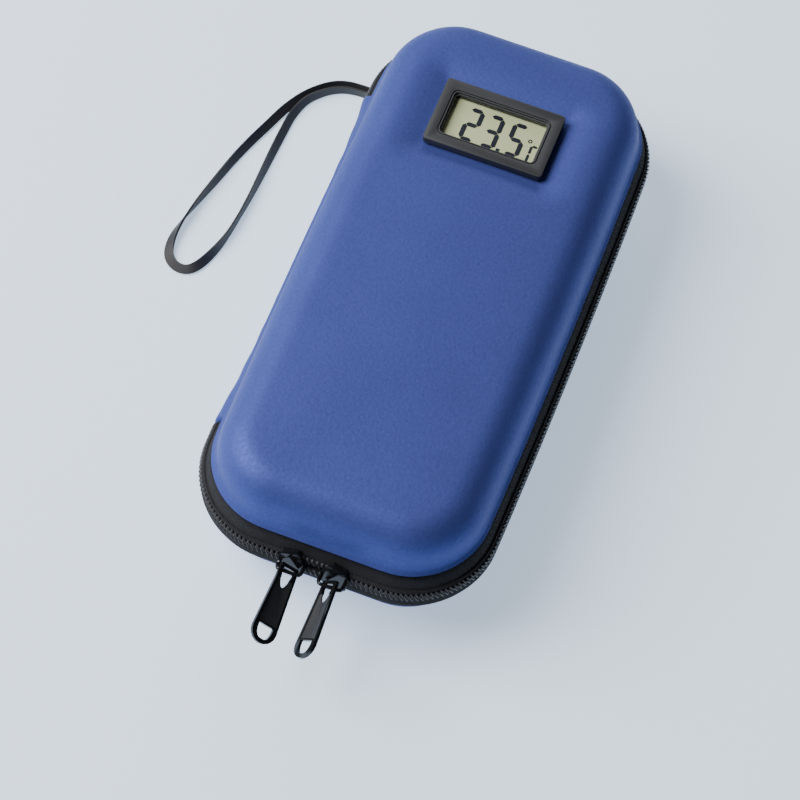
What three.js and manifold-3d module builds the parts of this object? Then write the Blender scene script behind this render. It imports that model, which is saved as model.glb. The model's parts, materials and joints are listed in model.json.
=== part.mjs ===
// Insulin cooling case: two moulded half shells on a cloth hinge, closed by a two-way zip,
// with a panel thermometer in the lid, insulation, ice packs and pen loops inside.
// Lengths are millimetres. +Z is up, the case lies on its base, +Y is the thermometer end
// and -X is the side of the cloth hinge.

import * as THREE from 'three';
import { mergeVertices } from 'three/addons/utils/BufferGeometryUtils.js';
import Module from 'manifold-3d';

const wasm = await Module();
wasm.setup();

// Overall size of the closed case, over the zip
const caseWidth = 95;
const caseLength = 195;
const caseHeight = 50;
const cornerRadius = 28;
const sideBow = 1.4;

// Clearance between pieces that lie on each other, and how far a cutter overruns
const gap = 0.3;
const overrun = 1;

// Moulded half shells
const rimInset = 5.2;
const rimRise = 7;
const shellThickness = 3;
const wallDraft = 0.6;
const shoulderRadius = 11;
const crownRise = 0.9;

// Insulating foam and foil lining inside each shell
const foamThickness = 3;
const liningThickness = 0.8;

// Zip chain, tape and cloth hinge
const chainTilt = THREE.MathUtils.degToRad(15);
const rowWidth = 2.4;
const toothReach = 0.4;
const toothPitch = 3;
const toothDepth = 0.5;
const coilThickness = 1.3;
const tapeThickness = 0.5;
const tapeInnerEdge = 1.3;
const tapeFlatWidth = 5.9;
const tapeSeamWidth = 2.6;
const hingeLength = 126;
const hingeThickness = 1;
const hingeRecess = 1.7;
const hingeFlare = 0.9;

// Sliders and pullers
const leftSliderX = -7.6;
const rightSliderX = 5.3;
const sliderHalfLength = 4.3;
const plateThickness = 1;
const flangeThickness = 0.8;
const postHalfWidth = 0.7;
const postHalfLength = 1.2;
const postOffset = 2.2;
const crownHeight = 3.1;
const crownHalfSpan = 3.7;
const crownWireRadius = 0.6;
const pullerLength = 25;
const pullerThickness = 1;
const pullerTopHalfWidth = 3.1;
const pullerEndHalfWidth = 4.3;
const pullerBar = 1.1;
const pullerDroop = THREE.MathUtils.degToRad(8);
const leftPullerTurn = THREE.MathUtils.degToRad(-37);
const rightPullerTurn = THREE.MathUtils.degToRad(46);

// Thermometer module, from its front frame to its battery cover
const displayX = -0.8;
const displayY = 53;
const frameWidth = 38.5;
const frameLength = 24;
const frameProud = 1.6;
const bodyWidth = 34.5;
const bodyLength = 20.5;
const bodyWall = 1.2;
const bodyDepth = 8.4;
const windowWidth = 29.5;
const windowLength = 13.5;
const windowStep = 1;
const windowStepDepth = 0.7;
const lensThickness = 0.6;
const lcdThickness = 1.3;
const contactStripWidth = 2;
const contactStripThickness = 1.2;
const boardThickness = 1;
const cellDiameter = 11.6;
const cellHeight = 5.4;
const springLeafThickness = 0.3;
const springLeafWidth = 4;
const coverWidth = 27;
const coverLength = 14;
const coverThickness = 1.2;
const clipWidth = 8;
const clipThickness = 0.5;
const clipSpread = 3;

// Ice packs, pen board and elastic loops
const basePackShare = 0.59;
const packSideRoom = 4.5;
const packCornerRadius = 8;
const padSideRoom = 1.5;
const padThickness = 2.4;
const loopCount = 3;
const loopHeight = 10.5;
const loopBandLength = 16;
const loopBandThickness = 1;
const loopFoot = 3;
const loopRowShares = [-0.46, 0.36];
const netThickness = 0.5;
const netBindingWidth = 6;
const netBindingThickness = 1.2;
const netPlaceFromDisplay = 4;
const loopRoom = 2.5;

// Wrist strap of flat webbing, and the tab on the base's wall that holds its two ends
const strapWidth = 3.2;
const strapThickness = 0.7;
const strapTabThickness = 2.6;
const strapTabLength = 7;
const strapTabHeight = 4.4;
const strapTabY = 63.5;
const strapTabDrop = 3;
const strapTableGap = 0.1;

// Counts of facets
const shellSteps = { corner: 6, long: 4, short: 2, shoulder: 4 };
const linerSteps = { corner: 4, long: 2, short: 1, shoulder: 3 };
const pathSteps = { corner: 24, long: 48, short: 16 };
const tapeStations = 40;
const hingeStations = 12;
const strapStations = 78;
const roundSegments = 20;

// Sizes worked out from the ones above
const partingZ = caseHeight / 2;
const halfWidth = caseWidth / 2;
const halfLength = caseLength / 2;
const lidShoulderTop = caseHeight / 2 - frameProud / 2 - crownRise;
const chainSetback = rowWidth * Math.sin(chainTilt);
const rowSpread = postHalfWidth + gap + toothReach;
const hingeHalf = hingeLength / 2;

const group = new THREE.Group();

// Materials
const material = (color, roughness, metalness = 0) =>
  new THREE.MeshStandardMaterial({ color, roughness, metalness });
const bluePolyurethane = () => material(0x3f5a9a, 0.5);
const blackCloth = () => material(0x202124, 0.85);
const blackNylon = () => material(0x18191b, 0.55);
const blackPlastic = () => material(0x2b2d30, 0.45);
const greyFoam = () => material(0x6a6d70, 0.95);
const silverFoil = () => material(0xb9bec3, 0.35, 0.6);
const clearPlastic = () => material(0xdfe6e6, 0.1);
const liquidCrystal = () => material(0xbec0a0, 0.4);
const blackMetal = () => material(0x35373a, 0.35, 0.8);
const steel = () => material(0xc3c6c8, 0.3, 0.9);
const greenBoard = () => material(0x1f5b3a, 0.6);
const blueGel = () => material(0x6fa5d8, 0.35);

function addPiece(name, geometry, finish, parent = group) {
  const mesh = new THREE.Mesh(geometry, finish);
  mesh.name = name;
  parent.add(mesh);
  return mesh;
}

// Solid modelling helpers

function toSolid(geometry) {
  const bare = geometry.clone();
  bare.deleteAttribute('normal');
  bare.deleteAttribute('uv');
  const merged = mergeVertices(bare);
  return new wasm.Manifold(new wasm.Mesh({
    numProp: 3,
    vertProperties: new Float32Array(merged.attributes.position.array),
    triVerts: new Uint32Array(merged.index.array),
  }));
}

function toGeometry(solid) {
  const mesh = solid.getMesh();
  const geometry = new THREE.BufferGeometry();
  geometry.setAttribute('position', new THREE.BufferAttribute(new Float32Array(mesh.vertProperties), 3));
  geometry.setIndex(new THREE.BufferAttribute(new Uint32Array(mesh.triVerts), 1));
  geometry.computeVertexNormals();
  return geometry;
}

const box = (width, length, height, x, y, z) =>
  new THREE.BoxGeometry(width, length, height).translate(x, y, z + height / 2);

function signedArea(points) {
  return THREE.ShapeUtils.area(points);
}

// Skins a stack of rings that all have the same number of points. The two ends are closed by
// a fan to their middle, or by the triangles of the flat profile where one is given.
function loft(rings, profile = null) {
  const count = rings[0].length;
  const positions = rings.flatMap((ring) => ring.flatMap((point) => [point.x, point.y, point.z]));
  const indices = [];
  for (let ring = 0; ring + 1 < rings.length; ring += 1) {
    for (let side = 0; side < count; side += 1) {
      const a = ring * count + side;
      const b = ring * count + ((side + 1) % count);
      indices.push(a, b, b + count, a, b + count, a + count);
    }
  }
  const last = (rings.length - 1) * count;
  if (profile) {
    const turn = Math.sign(signedArea(profile));
    for (const face of THREE.ShapeUtils.triangulateShape(profile, [])) {
      const same = Math.sign(signedArea(face.map((index) => profile[index]))) === turn;
      const [a, b, c] = same ? face : [face[0], face[2], face[1]];
      indices.push(a, c, b, last + a, last + b, last + c);
    }
  } else {
    for (const [start, ring] of [[0, rings[0]], [last, rings[rings.length - 1]]]) {
      const middle = ring.reduce((sum, point) => sum.add(point), new THREE.Vector3());
      middle.divideScalar(count);
      const hub = positions.length / 3;
      positions.push(middle.x, middle.y, middle.z);
      for (let side = 0; side < count; side += 1) {
        const a = start + side;
        const b = start + ((side + 1) % count);
        if (start === 0) indices.push(hub, b, a);
        else indices.push(hub, a, b);
      }
    }
  }
  return closedGeometry(positions, indices);
}

// Makes a geometry whose faces point outwards, whichever way its rings ran.
function closedGeometry(positions, indices) {
  const corner = (index) => new THREE.Vector3().fromArray(positions, 3 * index);
  let volume = 0;
  for (let face = 0; face < indices.length; face += 3) {
    const [a, b, c] = [corner(indices[face]), corner(indices[face + 1]), corner(indices[face + 2])];
    volume += a.dot(b.cross(c));
  }
  const geometry = new THREE.BufferGeometry();
  geometry.setAttribute('position', new THREE.Float32BufferAttribute(positions, 3));
  geometry.setIndex(volume > 0 ? indices : indices.slice().reverse());
  geometry.computeVertexNormals();
  return geometry;
}

// A rounded rectangle centred on the origin, as a shape.
function roundedRectangle(width, length, radius) {
  const [x, y] = [width / 2, length / 2];
  const shape = new THREE.Shape();
  shape.moveTo(-x + radius, -y);
  shape.lineTo(x - radius, -y);
  shape.absarc(x - radius, -y + radius, radius, -Math.PI / 2, 0);
  shape.lineTo(x, y - radius);
  shape.absarc(x - radius, y - radius, radius, 0, Math.PI / 2);
  shape.lineTo(-x + radius, y);
  shape.absarc(-x + radius, y - radius, radius, Math.PI / 2, Math.PI);
  shape.lineTo(-x, -y + radius);
  shape.absarc(-x + radius, -y + radius, radius, Math.PI, 1.5 * Math.PI);
  return shape;
}

const slab = (shape, depth, curveSegments) =>
  new THREE.ExtrudeGeometry(shape, { depth, bevelEnabled: false, curveSegments });

// The widest line of the case

// Stations round the outline, clockwise from the middle of the hinge side, each with its
// place and its outward normal. The long sides bow out to the full width at their middle.
function outlineLoop(steps) {
  const stations = [];
  const [cornerX, cornerY] = [halfWidth - cornerRadius, halfLength - cornerRadius];
  const add = (x, y, nx, ny) => {
    const narrowing = (sideBow / halfWidth) * (y / halfLength) ** 2;
    const slope = (-2 * (sideBow / halfWidth) * y) / halfLength ** 2;
    const tangent = new THREE.Vector2(ny * (1 - narrowing) - x * slope * nx, -nx).normalize();
    stations.push({ x: x * (1 - narrowing), y, nx: -tangent.y, ny: tangent.x });
  };
  const straight = (x0, y0, x1, y1, nx, ny, count) => {
    for (let k = 0; k < count; k += 1) {
      add(x0 + ((x1 - x0) * k) / count, y0 + ((y1 - y0) * k) / count, nx, ny);
    }
  };
  const corner = (x, y, start) => {
    for (let k = 0; k < steps.corner; k += 1) {
      const angle = start - (k * Math.PI) / 2 / steps.corner;
      const [nx, ny] = [Math.cos(angle), Math.sin(angle)];
      add(x + cornerRadius * nx, y + cornerRadius * ny, nx, ny);
    }
  };
  straight(-halfWidth, 0, -halfWidth, cornerY, -1, 0, steps.long / 2);
  corner(-cornerX, cornerY, Math.PI);
  straight(-cornerX, halfLength, cornerX, halfLength, 0, 1, steps.short);
  corner(cornerX, cornerY, Math.PI / 2);
  straight(halfWidth, cornerY, halfWidth, -cornerY, 1, 0, steps.long);
  corner(cornerX, -cornerY, 0);
  straight(cornerX, -halfLength, -cornerX, -halfLength, 0, -1, steps.short);
  corner(-cornerX, -cornerY, -Math.PI / 2);
  straight(-halfWidth, -cornerY, -halfWidth, 0, -1, 0, steps.long / 2);
  return stations;
}

const fineLoop = outlineLoop(pathSteps);
const loopDistances = [0];
for (let k = 0; k < fineLoop.length; k += 1) {
  const [here, next] = [fineLoop[k], fineLoop[(k + 1) % fineLoop.length]];
  loopDistances.push(loopDistances[k] + Math.hypot(next.x - here.x, next.y - here.y));
}
const loopLength = loopDistances[fineLoop.length];

// The outline's place and outward normal at a distance along it.
function outlineAt(distance) {
  let k = loopDistances.findIndex((value) => value > distance) - 1;
  if (k < 0) k = fineLoop.length - 1;
  const share = (distance - loopDistances[k]) / (loopDistances[k + 1] - loopDistances[k]);
  const [here, next] = [fineLoop[k], fineLoop[(k + 1) % fineLoop.length]];
  const mix = (key) => here[key] + (next[key] - here[key]) * share;
  const normal = new THREE.Vector2(mix('nx'), mix('ny')).normalize();
  return { x: mix('x'), y: mix('y'), nx: normal.x, ny: normal.y };
}

// A point that lies an inset within the outline, at a height.
const insetPoint = (station, inset, z) =>
  new THREE.Vector3(station.x - station.nx * inset, station.y - station.ny * inset, z);

// A point given in the zip's own directions: out of its face, and across it towards the lid.
function chainPoint(station, out, across) {
  const [cos, sin] = [Math.cos(chainTilt), Math.sin(chainTilt)];
  const inset = chainSetback - out * cos + across * sin;
  return insetPoint(station, inset, partingZ + out * sin + across * cos);
}

// Shells, foam and lining

// Rings of one skin of a half, from its rim over the shoulder and on to the crown.
function skinRings(loop, side, skin, shoulderSteps) {
  const ring = (inset, height) => loop.map((at) => insetPoint(at, inset, partingZ + side * height));
  const rings = [ring(skin.inset, rimRise)];
  for (let k = 0; k <= shoulderSteps; k += 1) {
    const angle = (k * Math.PI) / 2 / shoulderSteps;
    rings.push(ring(
      skin.inset + wallDraft + skin.radius * (1 - Math.cos(angle)),
      skin.top - skin.radius * (1 - Math.sin(angle)),
    ));
  }
  const edge = rings[rings.length - 1];
  for (const crownShare of skin.crownShares ?? []) {
    const rise = crownRise * (1 - (1 - crownShare) ** 2);
    rings.push(edge.map((at) => new THREE.Vector3(
      at.x * (1 - crownShare),
      at.y * (1 - (crownShare * halfWidth) / halfLength),
      at.z + side * rise,
    )));
  }
  return rings;
}

// One layer of a half: an outer skin and the skin that lies its thickness within it.
function layerGeometry(side, outer, thickness, steps) {
  const loop = outlineLoop(steps);
  const inner = {
    inset: outer.inset + thickness,
    top: outer.top - thickness,
    radius: outer.radius - thickness,
  };
  return loft([
    ...skinRings(loop, side, outer, steps.shoulder).reverse(),
    ...skinRings(loop, side, inner, steps.shoulder),
  ]);
}

const crownShares = [0.45, 0.85];
const outerSkin = (side) => (side > 0
  ? { inset: rimInset, top: lidShoulderTop, radius: shoulderRadius, crownShares }
  : { inset: rimInset, top: partingZ, radius: shoulderRadius });

function nestedSkin(skin, thickness) {
  const step = thickness + gap;
  return { inset: skin.inset + step, top: skin.top - step, radius: skin.radius - step };
}

const recessFloorZ = caseHeight - frameProud - gap;
const holeHeight = caseHeight;
const bodyHole = box(
  bodyWidth + 2 * gap, bodyLength + 2 * gap, holeHeight, displayX, displayY, partingZ,
);
const frameRecess = box(
  frameWidth + 2 * gap, frameLength + 2 * gap, holeHeight, displayX, displayY, recessFloorZ,
);
const clipRoom = clipSpread + clipThickness + 2 * gap;
const liningHole = box(
  bodyWidth + 2 * clipRoom, bodyLength + 2 * gap, holeHeight, displayX, displayY, partingZ,
);

function addHalf(prefix, side) {
  const shell = outerSkin(side);
  const foam = nestedSkin(shell, shellThickness);
  const lining = nestedSkin(foam, foamThickness);
  let shellGeometry = layerGeometry(side, shell, shellThickness, shellSteps);
  let foamGeometry = layerGeometry(side, foam, foamThickness, linerSteps);
  let liningGeometry = layerGeometry(side, lining, liningThickness, linerSteps);
  if (side > 0) {
    const cutShell = toSolid(shellGeometry).subtract(toSolid(bodyHole));
    shellGeometry = toGeometry(cutShell.subtract(toSolid(frameRecess)));
    foamGeometry = toGeometry(toSolid(foamGeometry).subtract(toSolid(liningHole)));
    liningGeometry = toGeometry(toSolid(liningGeometry).subtract(toSolid(liningHole)));
  }
  addPiece(`${prefix}_shell`, shellGeometry, bluePolyurethane());
  addPiece(`${prefix}_foam`, foamGeometry, greyFoam());
  addPiece(`${prefix}_lining`, liningGeometry, silverFoil());
  return lining;
}

const baseLiningSkin = addHalf('base', -1);
const lidLiningSkin = addHalf('lid', 1);
const liningInset = baseLiningSkin.inset + liningThickness;
const baseFloorZ = partingZ - (baseLiningSkin.top - liningThickness);
const lidCeilingZ = partingZ + (lidLiningSkin.top - liningThickness);

// Zip: two tapes, two coils and the cloth hinge between their ends

const zipStart = hingeHalf + gap;
const zipEnd = loopLength - hingeHalf - gap;
const zipLength = zipEnd - zipStart;
const toothCount = Math.round(zipLength / toothPitch);

// How far each row stands off the middle line near the sliders, which part the teeth.
function spreadAt(station) {
  if (station.ny > -Math.cos(chainTilt)) return 0;
  const middle = (leftSliderX + rightSliderX) / 2;
  const open = (rightSliderX - leftSliderX) / 2 - postOffset + postHalfLength;
  const closed = (rightSliderX - leftSliderX) / 2 + sliderHalfLength - gap;
  const distance = Math.abs(station.x - middle);
  return rowSpread * (1 - THREE.MathUtils.smoothstep(distance, open, closed));
}

// One row of teeth as a continuous coil: it rises to a tooth and falls to a valley by turns,
// and its teeth meet the valleys of the other row.
function coilGeometry(side) {
  const rings = [];
  for (let k = 0; k <= 2 * toothCount; k += 1) {
    const station = outlineAt(zipStart + (zipLength * k) / (2 * toothCount));
    const spread = spreadAt(station);
    const isTooth = (k % 2 === 0) === (side > 0);
    const tip = isTooth ? -toothReach : toothReach + gap;
    const face = isTooth ? 0 : -toothDepth;
    const [inner, outer] = [side * (tip + spread), side * (rowWidth + spread)];
    rings.push([
      chainPoint(station, face, inner),
      chainPoint(station, face, outer),
      chainPoint(station, -coilThickness, outer),
      chainPoint(station, -coilThickness, inner),
    ]);
  }
  const flat = (x, y) => new THREE.Vector2(x, y);
  const reach = rowWidth + toothReach;
  return loft(rings, [flat(0, 0), flat(reach, 0), flat(reach, -coilThickness), flat(0, -coilThickness)]);
}

// The two faces of a strip whose middle line is given as flat points.
function stripProfile(points, thickness) {
  const half = thickness / 2;
  const sides = points.map((point, k) => {
    const before = points[Math.max(k - 1, 0)];
    const after = points[Math.min(k + 1, points.length - 1)];
    const along = new THREE.Vector2().subVectors(after, before).normalize();
    const normal = new THREE.Vector2(-along.y, along.x).multiplyScalar(half);
    return [point.clone().add(normal), point.clone().sub(normal)];
  });
  return [...sides.map((pair) => pair[0]), ...sides.map((pair) => pair[1]).reverse()];
}

// A flat point is an inset and a height. The tape lies flat in the zip's plane beside the
// teeth, then runs up to the rim and under it, where it is sewn.
function tapeProfile(side) {
  const back = -(coilThickness + gap + tapeThickness / 2);
  const here = { x: 0, y: 0, nx: 0, ny: -1 };
  const inPlane = (across) => {
    const point = chainPoint(here, back, side * across);
    return new THREE.Vector2(point.y, point.z);
  };
  const seamZ = partingZ + side * (rimRise - gap - tapeThickness / 2);
  return stripProfile([
    inPlane(tapeInnerEdge),
    inPlane(tapeFlatWidth),
    new THREE.Vector2(rimInset + tapeThickness, seamZ - side * tapeThickness),
    new THREE.Vector2(rimInset + tapeSeamWidth, seamZ),
  ], tapeThickness);
}

function tapeGeometry(side) {
  const profile = tapeProfile(side);
  const rings = [];
  for (let k = 0; k <= tapeStations; k += 1) {
    const station = outlineAt(zipStart + (zipLength * k) / tapeStations);
    rings.push(profile.map((point) => insetPoint(station, point.x, point.y)));
  }
  return loft(rings, profile);
}

addPiece('base_zip_tape', tapeGeometry(-1), blackCloth());
addPiece('lid_zip_tape', tapeGeometry(1), blackCloth());
addPiece('base_zip_coil', coilGeometry(-1), blackNylon());
addPiece('lid_zip_coil', coilGeometry(1), blackNylon());

// The cloth hinge runs from rim to rim. It stands a little further in along its middle than at
// its two ends, where it meets the zip.
function hingeGeometry() {
  const seamZ = rimRise - gap - hingeThickness / 2;
  const rings = [];
  let profile = null;
  for (let k = 0; k <= hingeStations; k += 1) {
    const along = (2 * k) / hingeStations - 1;
    const station = outlineAt((loopLength + along * hingeHalf) % loopLength);
    const depth = hingeRecess - hingeFlare * along ** 8;
    profile = stripProfile([
      new THREE.Vector2(rimInset + tapeSeamWidth, partingZ - seamZ),
      new THREE.Vector2(rimInset, partingZ - seamZ + gap),
      new THREE.Vector2(depth, partingZ - seamZ / 2),
      new THREE.Vector2(depth, partingZ + seamZ / 2),
      new THREE.Vector2(rimInset, partingZ + seamZ - gap),
      new THREE.Vector2(rimInset + tapeSeamWidth, partingZ + seamZ),
    ], hingeThickness);
    rings.push(profile.map((point) => insetPoint(station, point.x, point.y)));
  }
  return loft(rings, profile);
}

addPiece('hinge_strip', hingeGeometry(), bluePolyurethane());

// Sliders and pullers, made in the zip's own directions: along it, across it, and out

const plateFaceOut = gap + plateThickness;
const wireOut = plateFaceOut + crownHeight;
const innerPlateOut = -(coilThickness + tapeThickness + 3 * gap);

// The plate's outline: a wide tail that holds the closed teeth, shoulders and a narrow nose.
function plateShape() {
  const tail = rowWidth + gap + flangeThickness;
  const shoulder = tail + rowSpread;
  const shoulderAlong = postOffset - postHalfLength;
  const nose = postHalfWidth + flangeThickness;
  const noseStart = postOffset + postHalfWidth;
  const shape = new THREE.Shape();
  shape.moveTo(-sliderHalfLength, -tail + flangeThickness);
  shape.lineTo(-sliderHalfLength + flangeThickness, -tail);
  shape.lineTo(shoulderAlong, -shoulder);
  shape.quadraticCurveTo(noseStart, -shoulder, noseStart, -shoulder / 2);
  shape.quadraticCurveTo(sliderHalfLength, -nose, sliderHalfLength, 0);
  shape.quadraticCurveTo(sliderHalfLength, nose, noseStart, shoulder / 2);
  shape.quadraticCurveTo(noseStart, shoulder, shoulderAlong, shoulder);
  shape.lineTo(-sliderHalfLength + flangeThickness, tail);
  shape.lineTo(-sliderHalfLength, tail - flangeThickness);
  return shape;
}

function flangeShape(side) {
  const tail = rowWidth + gap;
  const shoulderAlong = postOffset - postHalfLength;
  const shape = new THREE.Shape();
  shape.moveTo(-sliderHalfLength + flangeThickness, side * tail);
  shape.lineTo(shoulderAlong, side * (tail + rowSpread));
  shape.lineTo(shoulderAlong, side * (tail + rowSpread + flangeThickness));
  shape.lineTo(-sliderHalfLength + flangeThickness, side * (tail + flangeThickness));
  return shape;
}

function postShape() {
  const shape = new THREE.Shape();
  shape.moveTo(postOffset - postHalfLength, 0);
  shape.lineTo(postOffset, -postHalfWidth);
  shape.lineTo(postOffset + postHalfLength, 0);
  shape.lineTo(postOffset, postHalfWidth);
  return shape;
}

// The crown is a wire bow over the outer plate, straight along its top.
function crownGeometry() {
  const foot = plateFaceOut - plateThickness / 2;
  const bend = crownHalfSpan / 3;
  const path = new THREE.CurvePath();
  const at = (along, out) => new THREE.Vector3(along, 0, out);
  path.add(new THREE.LineCurve3(at(-crownHalfSpan, foot), at(-crownHalfSpan, wireOut - bend)));
  path.add(new THREE.QuadraticBezierCurve3(
    at(-crownHalfSpan, wireOut - bend), at(-crownHalfSpan, wireOut), at(bend - crownHalfSpan, wireOut),
  ));
  path.add(new THREE.LineCurve3(at(bend - crownHalfSpan, wireOut), at(crownHalfSpan - bend, wireOut)));
  path.add(new THREE.QuadraticBezierCurve3(
    at(crownHalfSpan - bend, wireOut), at(crownHalfSpan, wireOut), at(crownHalfSpan, wireOut - bend),
  ));
  path.add(new THREE.LineCurve3(at(crownHalfSpan, wireOut - bend), at(crownHalfSpan, foot)));
  const section = new THREE.Shape();
  section.absarc(0, 0, crownWireRadius, 0, 2 * Math.PI);
  return new THREE.ExtrudeGeometry(section, { steps: 20, curveSegments: 4, extrudePath: path });
}

function sliderGeometry() {
  const upper = slab(plateShape(), plateThickness, 4).translate(0, 0, gap);
  const lower = slab(plateShape(), plateThickness, 4).translate(0, 0, innerPlateOut - plateThickness);
  const flangeDrop = coilThickness - gap / 2;
  const flanges = [-1, 1].map((side) =>
    slab(flangeShape(side), flangeDrop + gap + plateThickness / 2, 1).translate(0, 0, -flangeDrop));
  const postFoot = innerPlateOut - plateThickness / 2;
  const post = slab(postShape(), gap + plateThickness / 2 - postFoot, 1).translate(0, 0, postFoot);
  return toGeometry([lower, ...flanges, post, crownGeometry()].reduce(
    (solid, geometry) => solid.add(toSolid(geometry)), toSolid(upper),
  ));
}

// A puller in its own plane: across it, and along it away from the crown's wire. Its top bar
// passes under the wire, which runs through the upper window.
function pullerShape() {
  const barTop = -(crownWireRadius + gap + pullerBar);
  const tip = barTop + pullerLength;
  const neck = 2 * pullerTopHalfWidth;
  const shape = new THREE.Shape();
  const rounding = pullerBar / 2;
  shape.moveTo(-pullerTopHalfWidth, barTop + rounding);
  shape.quadraticCurveTo(-pullerTopHalfWidth, barTop, -pullerTopHalfWidth + rounding, barTop);
  shape.lineTo(pullerTopHalfWidth - rounding, barTop);
  shape.quadraticCurveTo(pullerTopHalfWidth, barTop, pullerTopHalfWidth, barTop + rounding);
  shape.lineTo(pullerEndHalfWidth, tip - pullerEndHalfWidth);
  shape.absarc(0, tip - pullerEndHalfWidth, pullerEndHalfWidth, 0, Math.PI);

  const wireWindow = new THREE.Path();
  const windowHalf = pullerTopHalfWidth - pullerBar;
  wireWindow.moveTo(-windowHalf, barTop + pullerBar);
  wireWindow.lineTo(windowHalf, barTop + pullerBar);
  wireWindow.lineTo(windowHalf, barTop + 2.5 * pullerBar);
  wireWindow.quadraticCurveTo(windowHalf / 2, neck - pullerBar, 0, neck - pullerBar);
  wireWindow.quadraticCurveTo(-windowHalf / 2, neck - pullerBar, -windowHalf, barTop + 2.5 * pullerBar);
  shape.holes.push(wireWindow);

  const gripWindow = new THREE.Path();
  const gripHalf = pullerEndHalfWidth - 1.5 * pullerBar;
  const gripStart = tip - pullerEndHalfWidth - gripHalf / 2;
  gripWindow.moveTo(-gripHalf, gripStart);
  gripWindow.lineTo(gripHalf, gripStart);
  gripWindow.quadraticCurveTo(gripHalf, tip - pullerBar, 0, tip - 1.3 * pullerBar);
  gripWindow.quadraticCurveTo(-gripHalf, tip - pullerBar, -gripHalf, gripStart);
  shape.holes.push(gripWindow);
  return shape;
}

function addSlider(prefix, x, facing, pullerTurn) {
  const carriage = new THREE.Group();
  carriage.position.set(x, -(halfLength - chainSetback), partingZ);
  carriage.rotation.x = Math.PI / 2 - chainTilt;
  group.add(carriage);
  const body = addPiece(`${prefix}_slider`, sliderGeometry(), blackMetal(), carriage);
  body.rotation.z = facing > 0 ? 0 : Math.PI;

  const swivel = new THREE.Group();
  swivel.position.set(0, 0, wireOut);
  swivel.rotation.x = chainTilt + pullerDroop;
  carriage.add(swivel);
  const flat = slab(pullerShape(), pullerThickness, 5).translate(0, 0, -pullerThickness / 2);
  flat.rotateX(Math.PI / 2);
  const puller = addPiece(`${prefix}_puller`, flat, blackPlastic(), swivel);
  puller.rotation.z = pullerTurn;
}

addSlider('left', leftSliderX, 1, leftPullerTurn);
addSlider('right', rightSliderX, -1, rightPullerTurn);

// Thermometer module, stacked from the front frame down

const frameBottomZ = caseHeight - frameProud;
const lensZ = frameBottomZ - gap - lensThickness;
const lcdZ = lensZ - gap - lcdThickness;
const contactStripZ = lcdZ - gap - contactStripThickness;
const boardZ = contactStripZ - gap - boardThickness;
const cellZ = boardZ - gap - cellHeight;
const springLeafZ = cellZ - gap - springLeafThickness;
const backFloorZ = springLeafZ - gap;
const skirtZ = frameBottomZ - bodyDepth;
const innerWidth = bodyWidth - 2 * bodyWall;
const innerLength = bodyLength - 2 * bodyWall;
const atDisplay = (width, length, height, z, x = 0, y = 0) =>
  box(width, length, height, displayX + x, displayY + y, z);

function frameGeometry() {
  const flange = new THREE.ExtrudeGeometry(
    roundedRectangle(frameWidth - frameProud, frameLength - frameProud, windowStep),
    {
      depth: frameProud / 2, curveSegments: 2, bevelSegments: 1,
      bevelSize: frameProud / 2, bevelThickness: frameProud / 2,
    },
  ).translate(displayX, displayY, frameBottomZ);
  const bottomTrim = atDisplay(2 * frameWidth, 2 * frameLength, frameProud, frameBottomZ - frameProud);
  const skirt = atDisplay(bodyWidth, bodyLength, bodyDepth + frameProud / 2, skirtZ);
  const hollow = atDisplay(innerWidth, innerLength, bodyDepth + overrun, skirtZ - overrun);
  const opening = atDisplay(windowWidth, windowLength, holeHeight, partingZ);
  const stepShape = roundedRectangle(
    windowWidth + 2 * windowStep, windowLength + 2 * windowStep, windowStep,
  );
  const step = slab(stepShape, holeHeight, 3).translate(displayX, displayY, caseHeight - windowStepDepth);
  return toGeometry(toSolid(flange).subtract(toSolid(bottomTrim)).add(toSolid(skirt))
    .subtract(toSolid(hollow)).subtract(toSolid(opening)).subtract(toSolid(step)));
}

function backGeometry() {
  const height = skirtZ - gap - (backFloorZ - bodyWall);
  const outer = atDisplay(bodyWidth, bodyLength, height, backFloorZ - bodyWall);
  const hollow = atDisplay(innerWidth, innerLength, height, backFloorZ);
  const door = atDisplay(
    coverWidth - 2 * bodyWall, coverLength - 2 * bodyWall, height, backFloorZ - height / 2,
  );
  return toGeometry(toSolid(outer).subtract(toSolid(hollow)).subtract(toSolid(door)));
}

function coverGeometry() {
  const coverZ = backFloorZ - bodyWall - gap - coverThickness;
  const ridgeWidth = coverThickness;
  const plate = toSolid(atDisplay(coverWidth, coverLength, coverThickness, coverZ));
  const ridges = [-1, 0, 1].map((step) =>
    atDisplay(ridgeWidth, coverLength / 2, coverThickness, coverZ - ridgeWidth / 3, step * 2 * ridgeWidth));
  return toGeometry(ridges.reduce((solid, ridge) => solid.add(toSolid(ridge)), plate));
}

// A leaf that is bent up beside the body and presses on the underside of the lid.
function clipGeometry(side) {
  const inner = bodyWidth / 2 + gap;
  const top = partingZ + lidShoulderTop - shellThickness - gap;
  const bottom = skirtZ + gap;
  const leaf = [
    [inner, top],
    [inner, bottom],
    [inner + 2 * clipThickness, bottom],
    [inner + clipSpread + clipThickness, top],
    [inner + clipSpread, top],
    [inner + clipThickness, bottom + 2 * clipThickness],
    [inner + clipThickness, top],
  ];
  const shape = new THREE.Shape(leaf.map(([x, z]) => new THREE.Vector2(side * x, z)));
  const geometry = slab(shape, clipWidth, 1);
  geometry.rotateX(Math.PI / 2);
  return geometry.translate(displayX, displayY + clipWidth / 2, 0);
}

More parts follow.
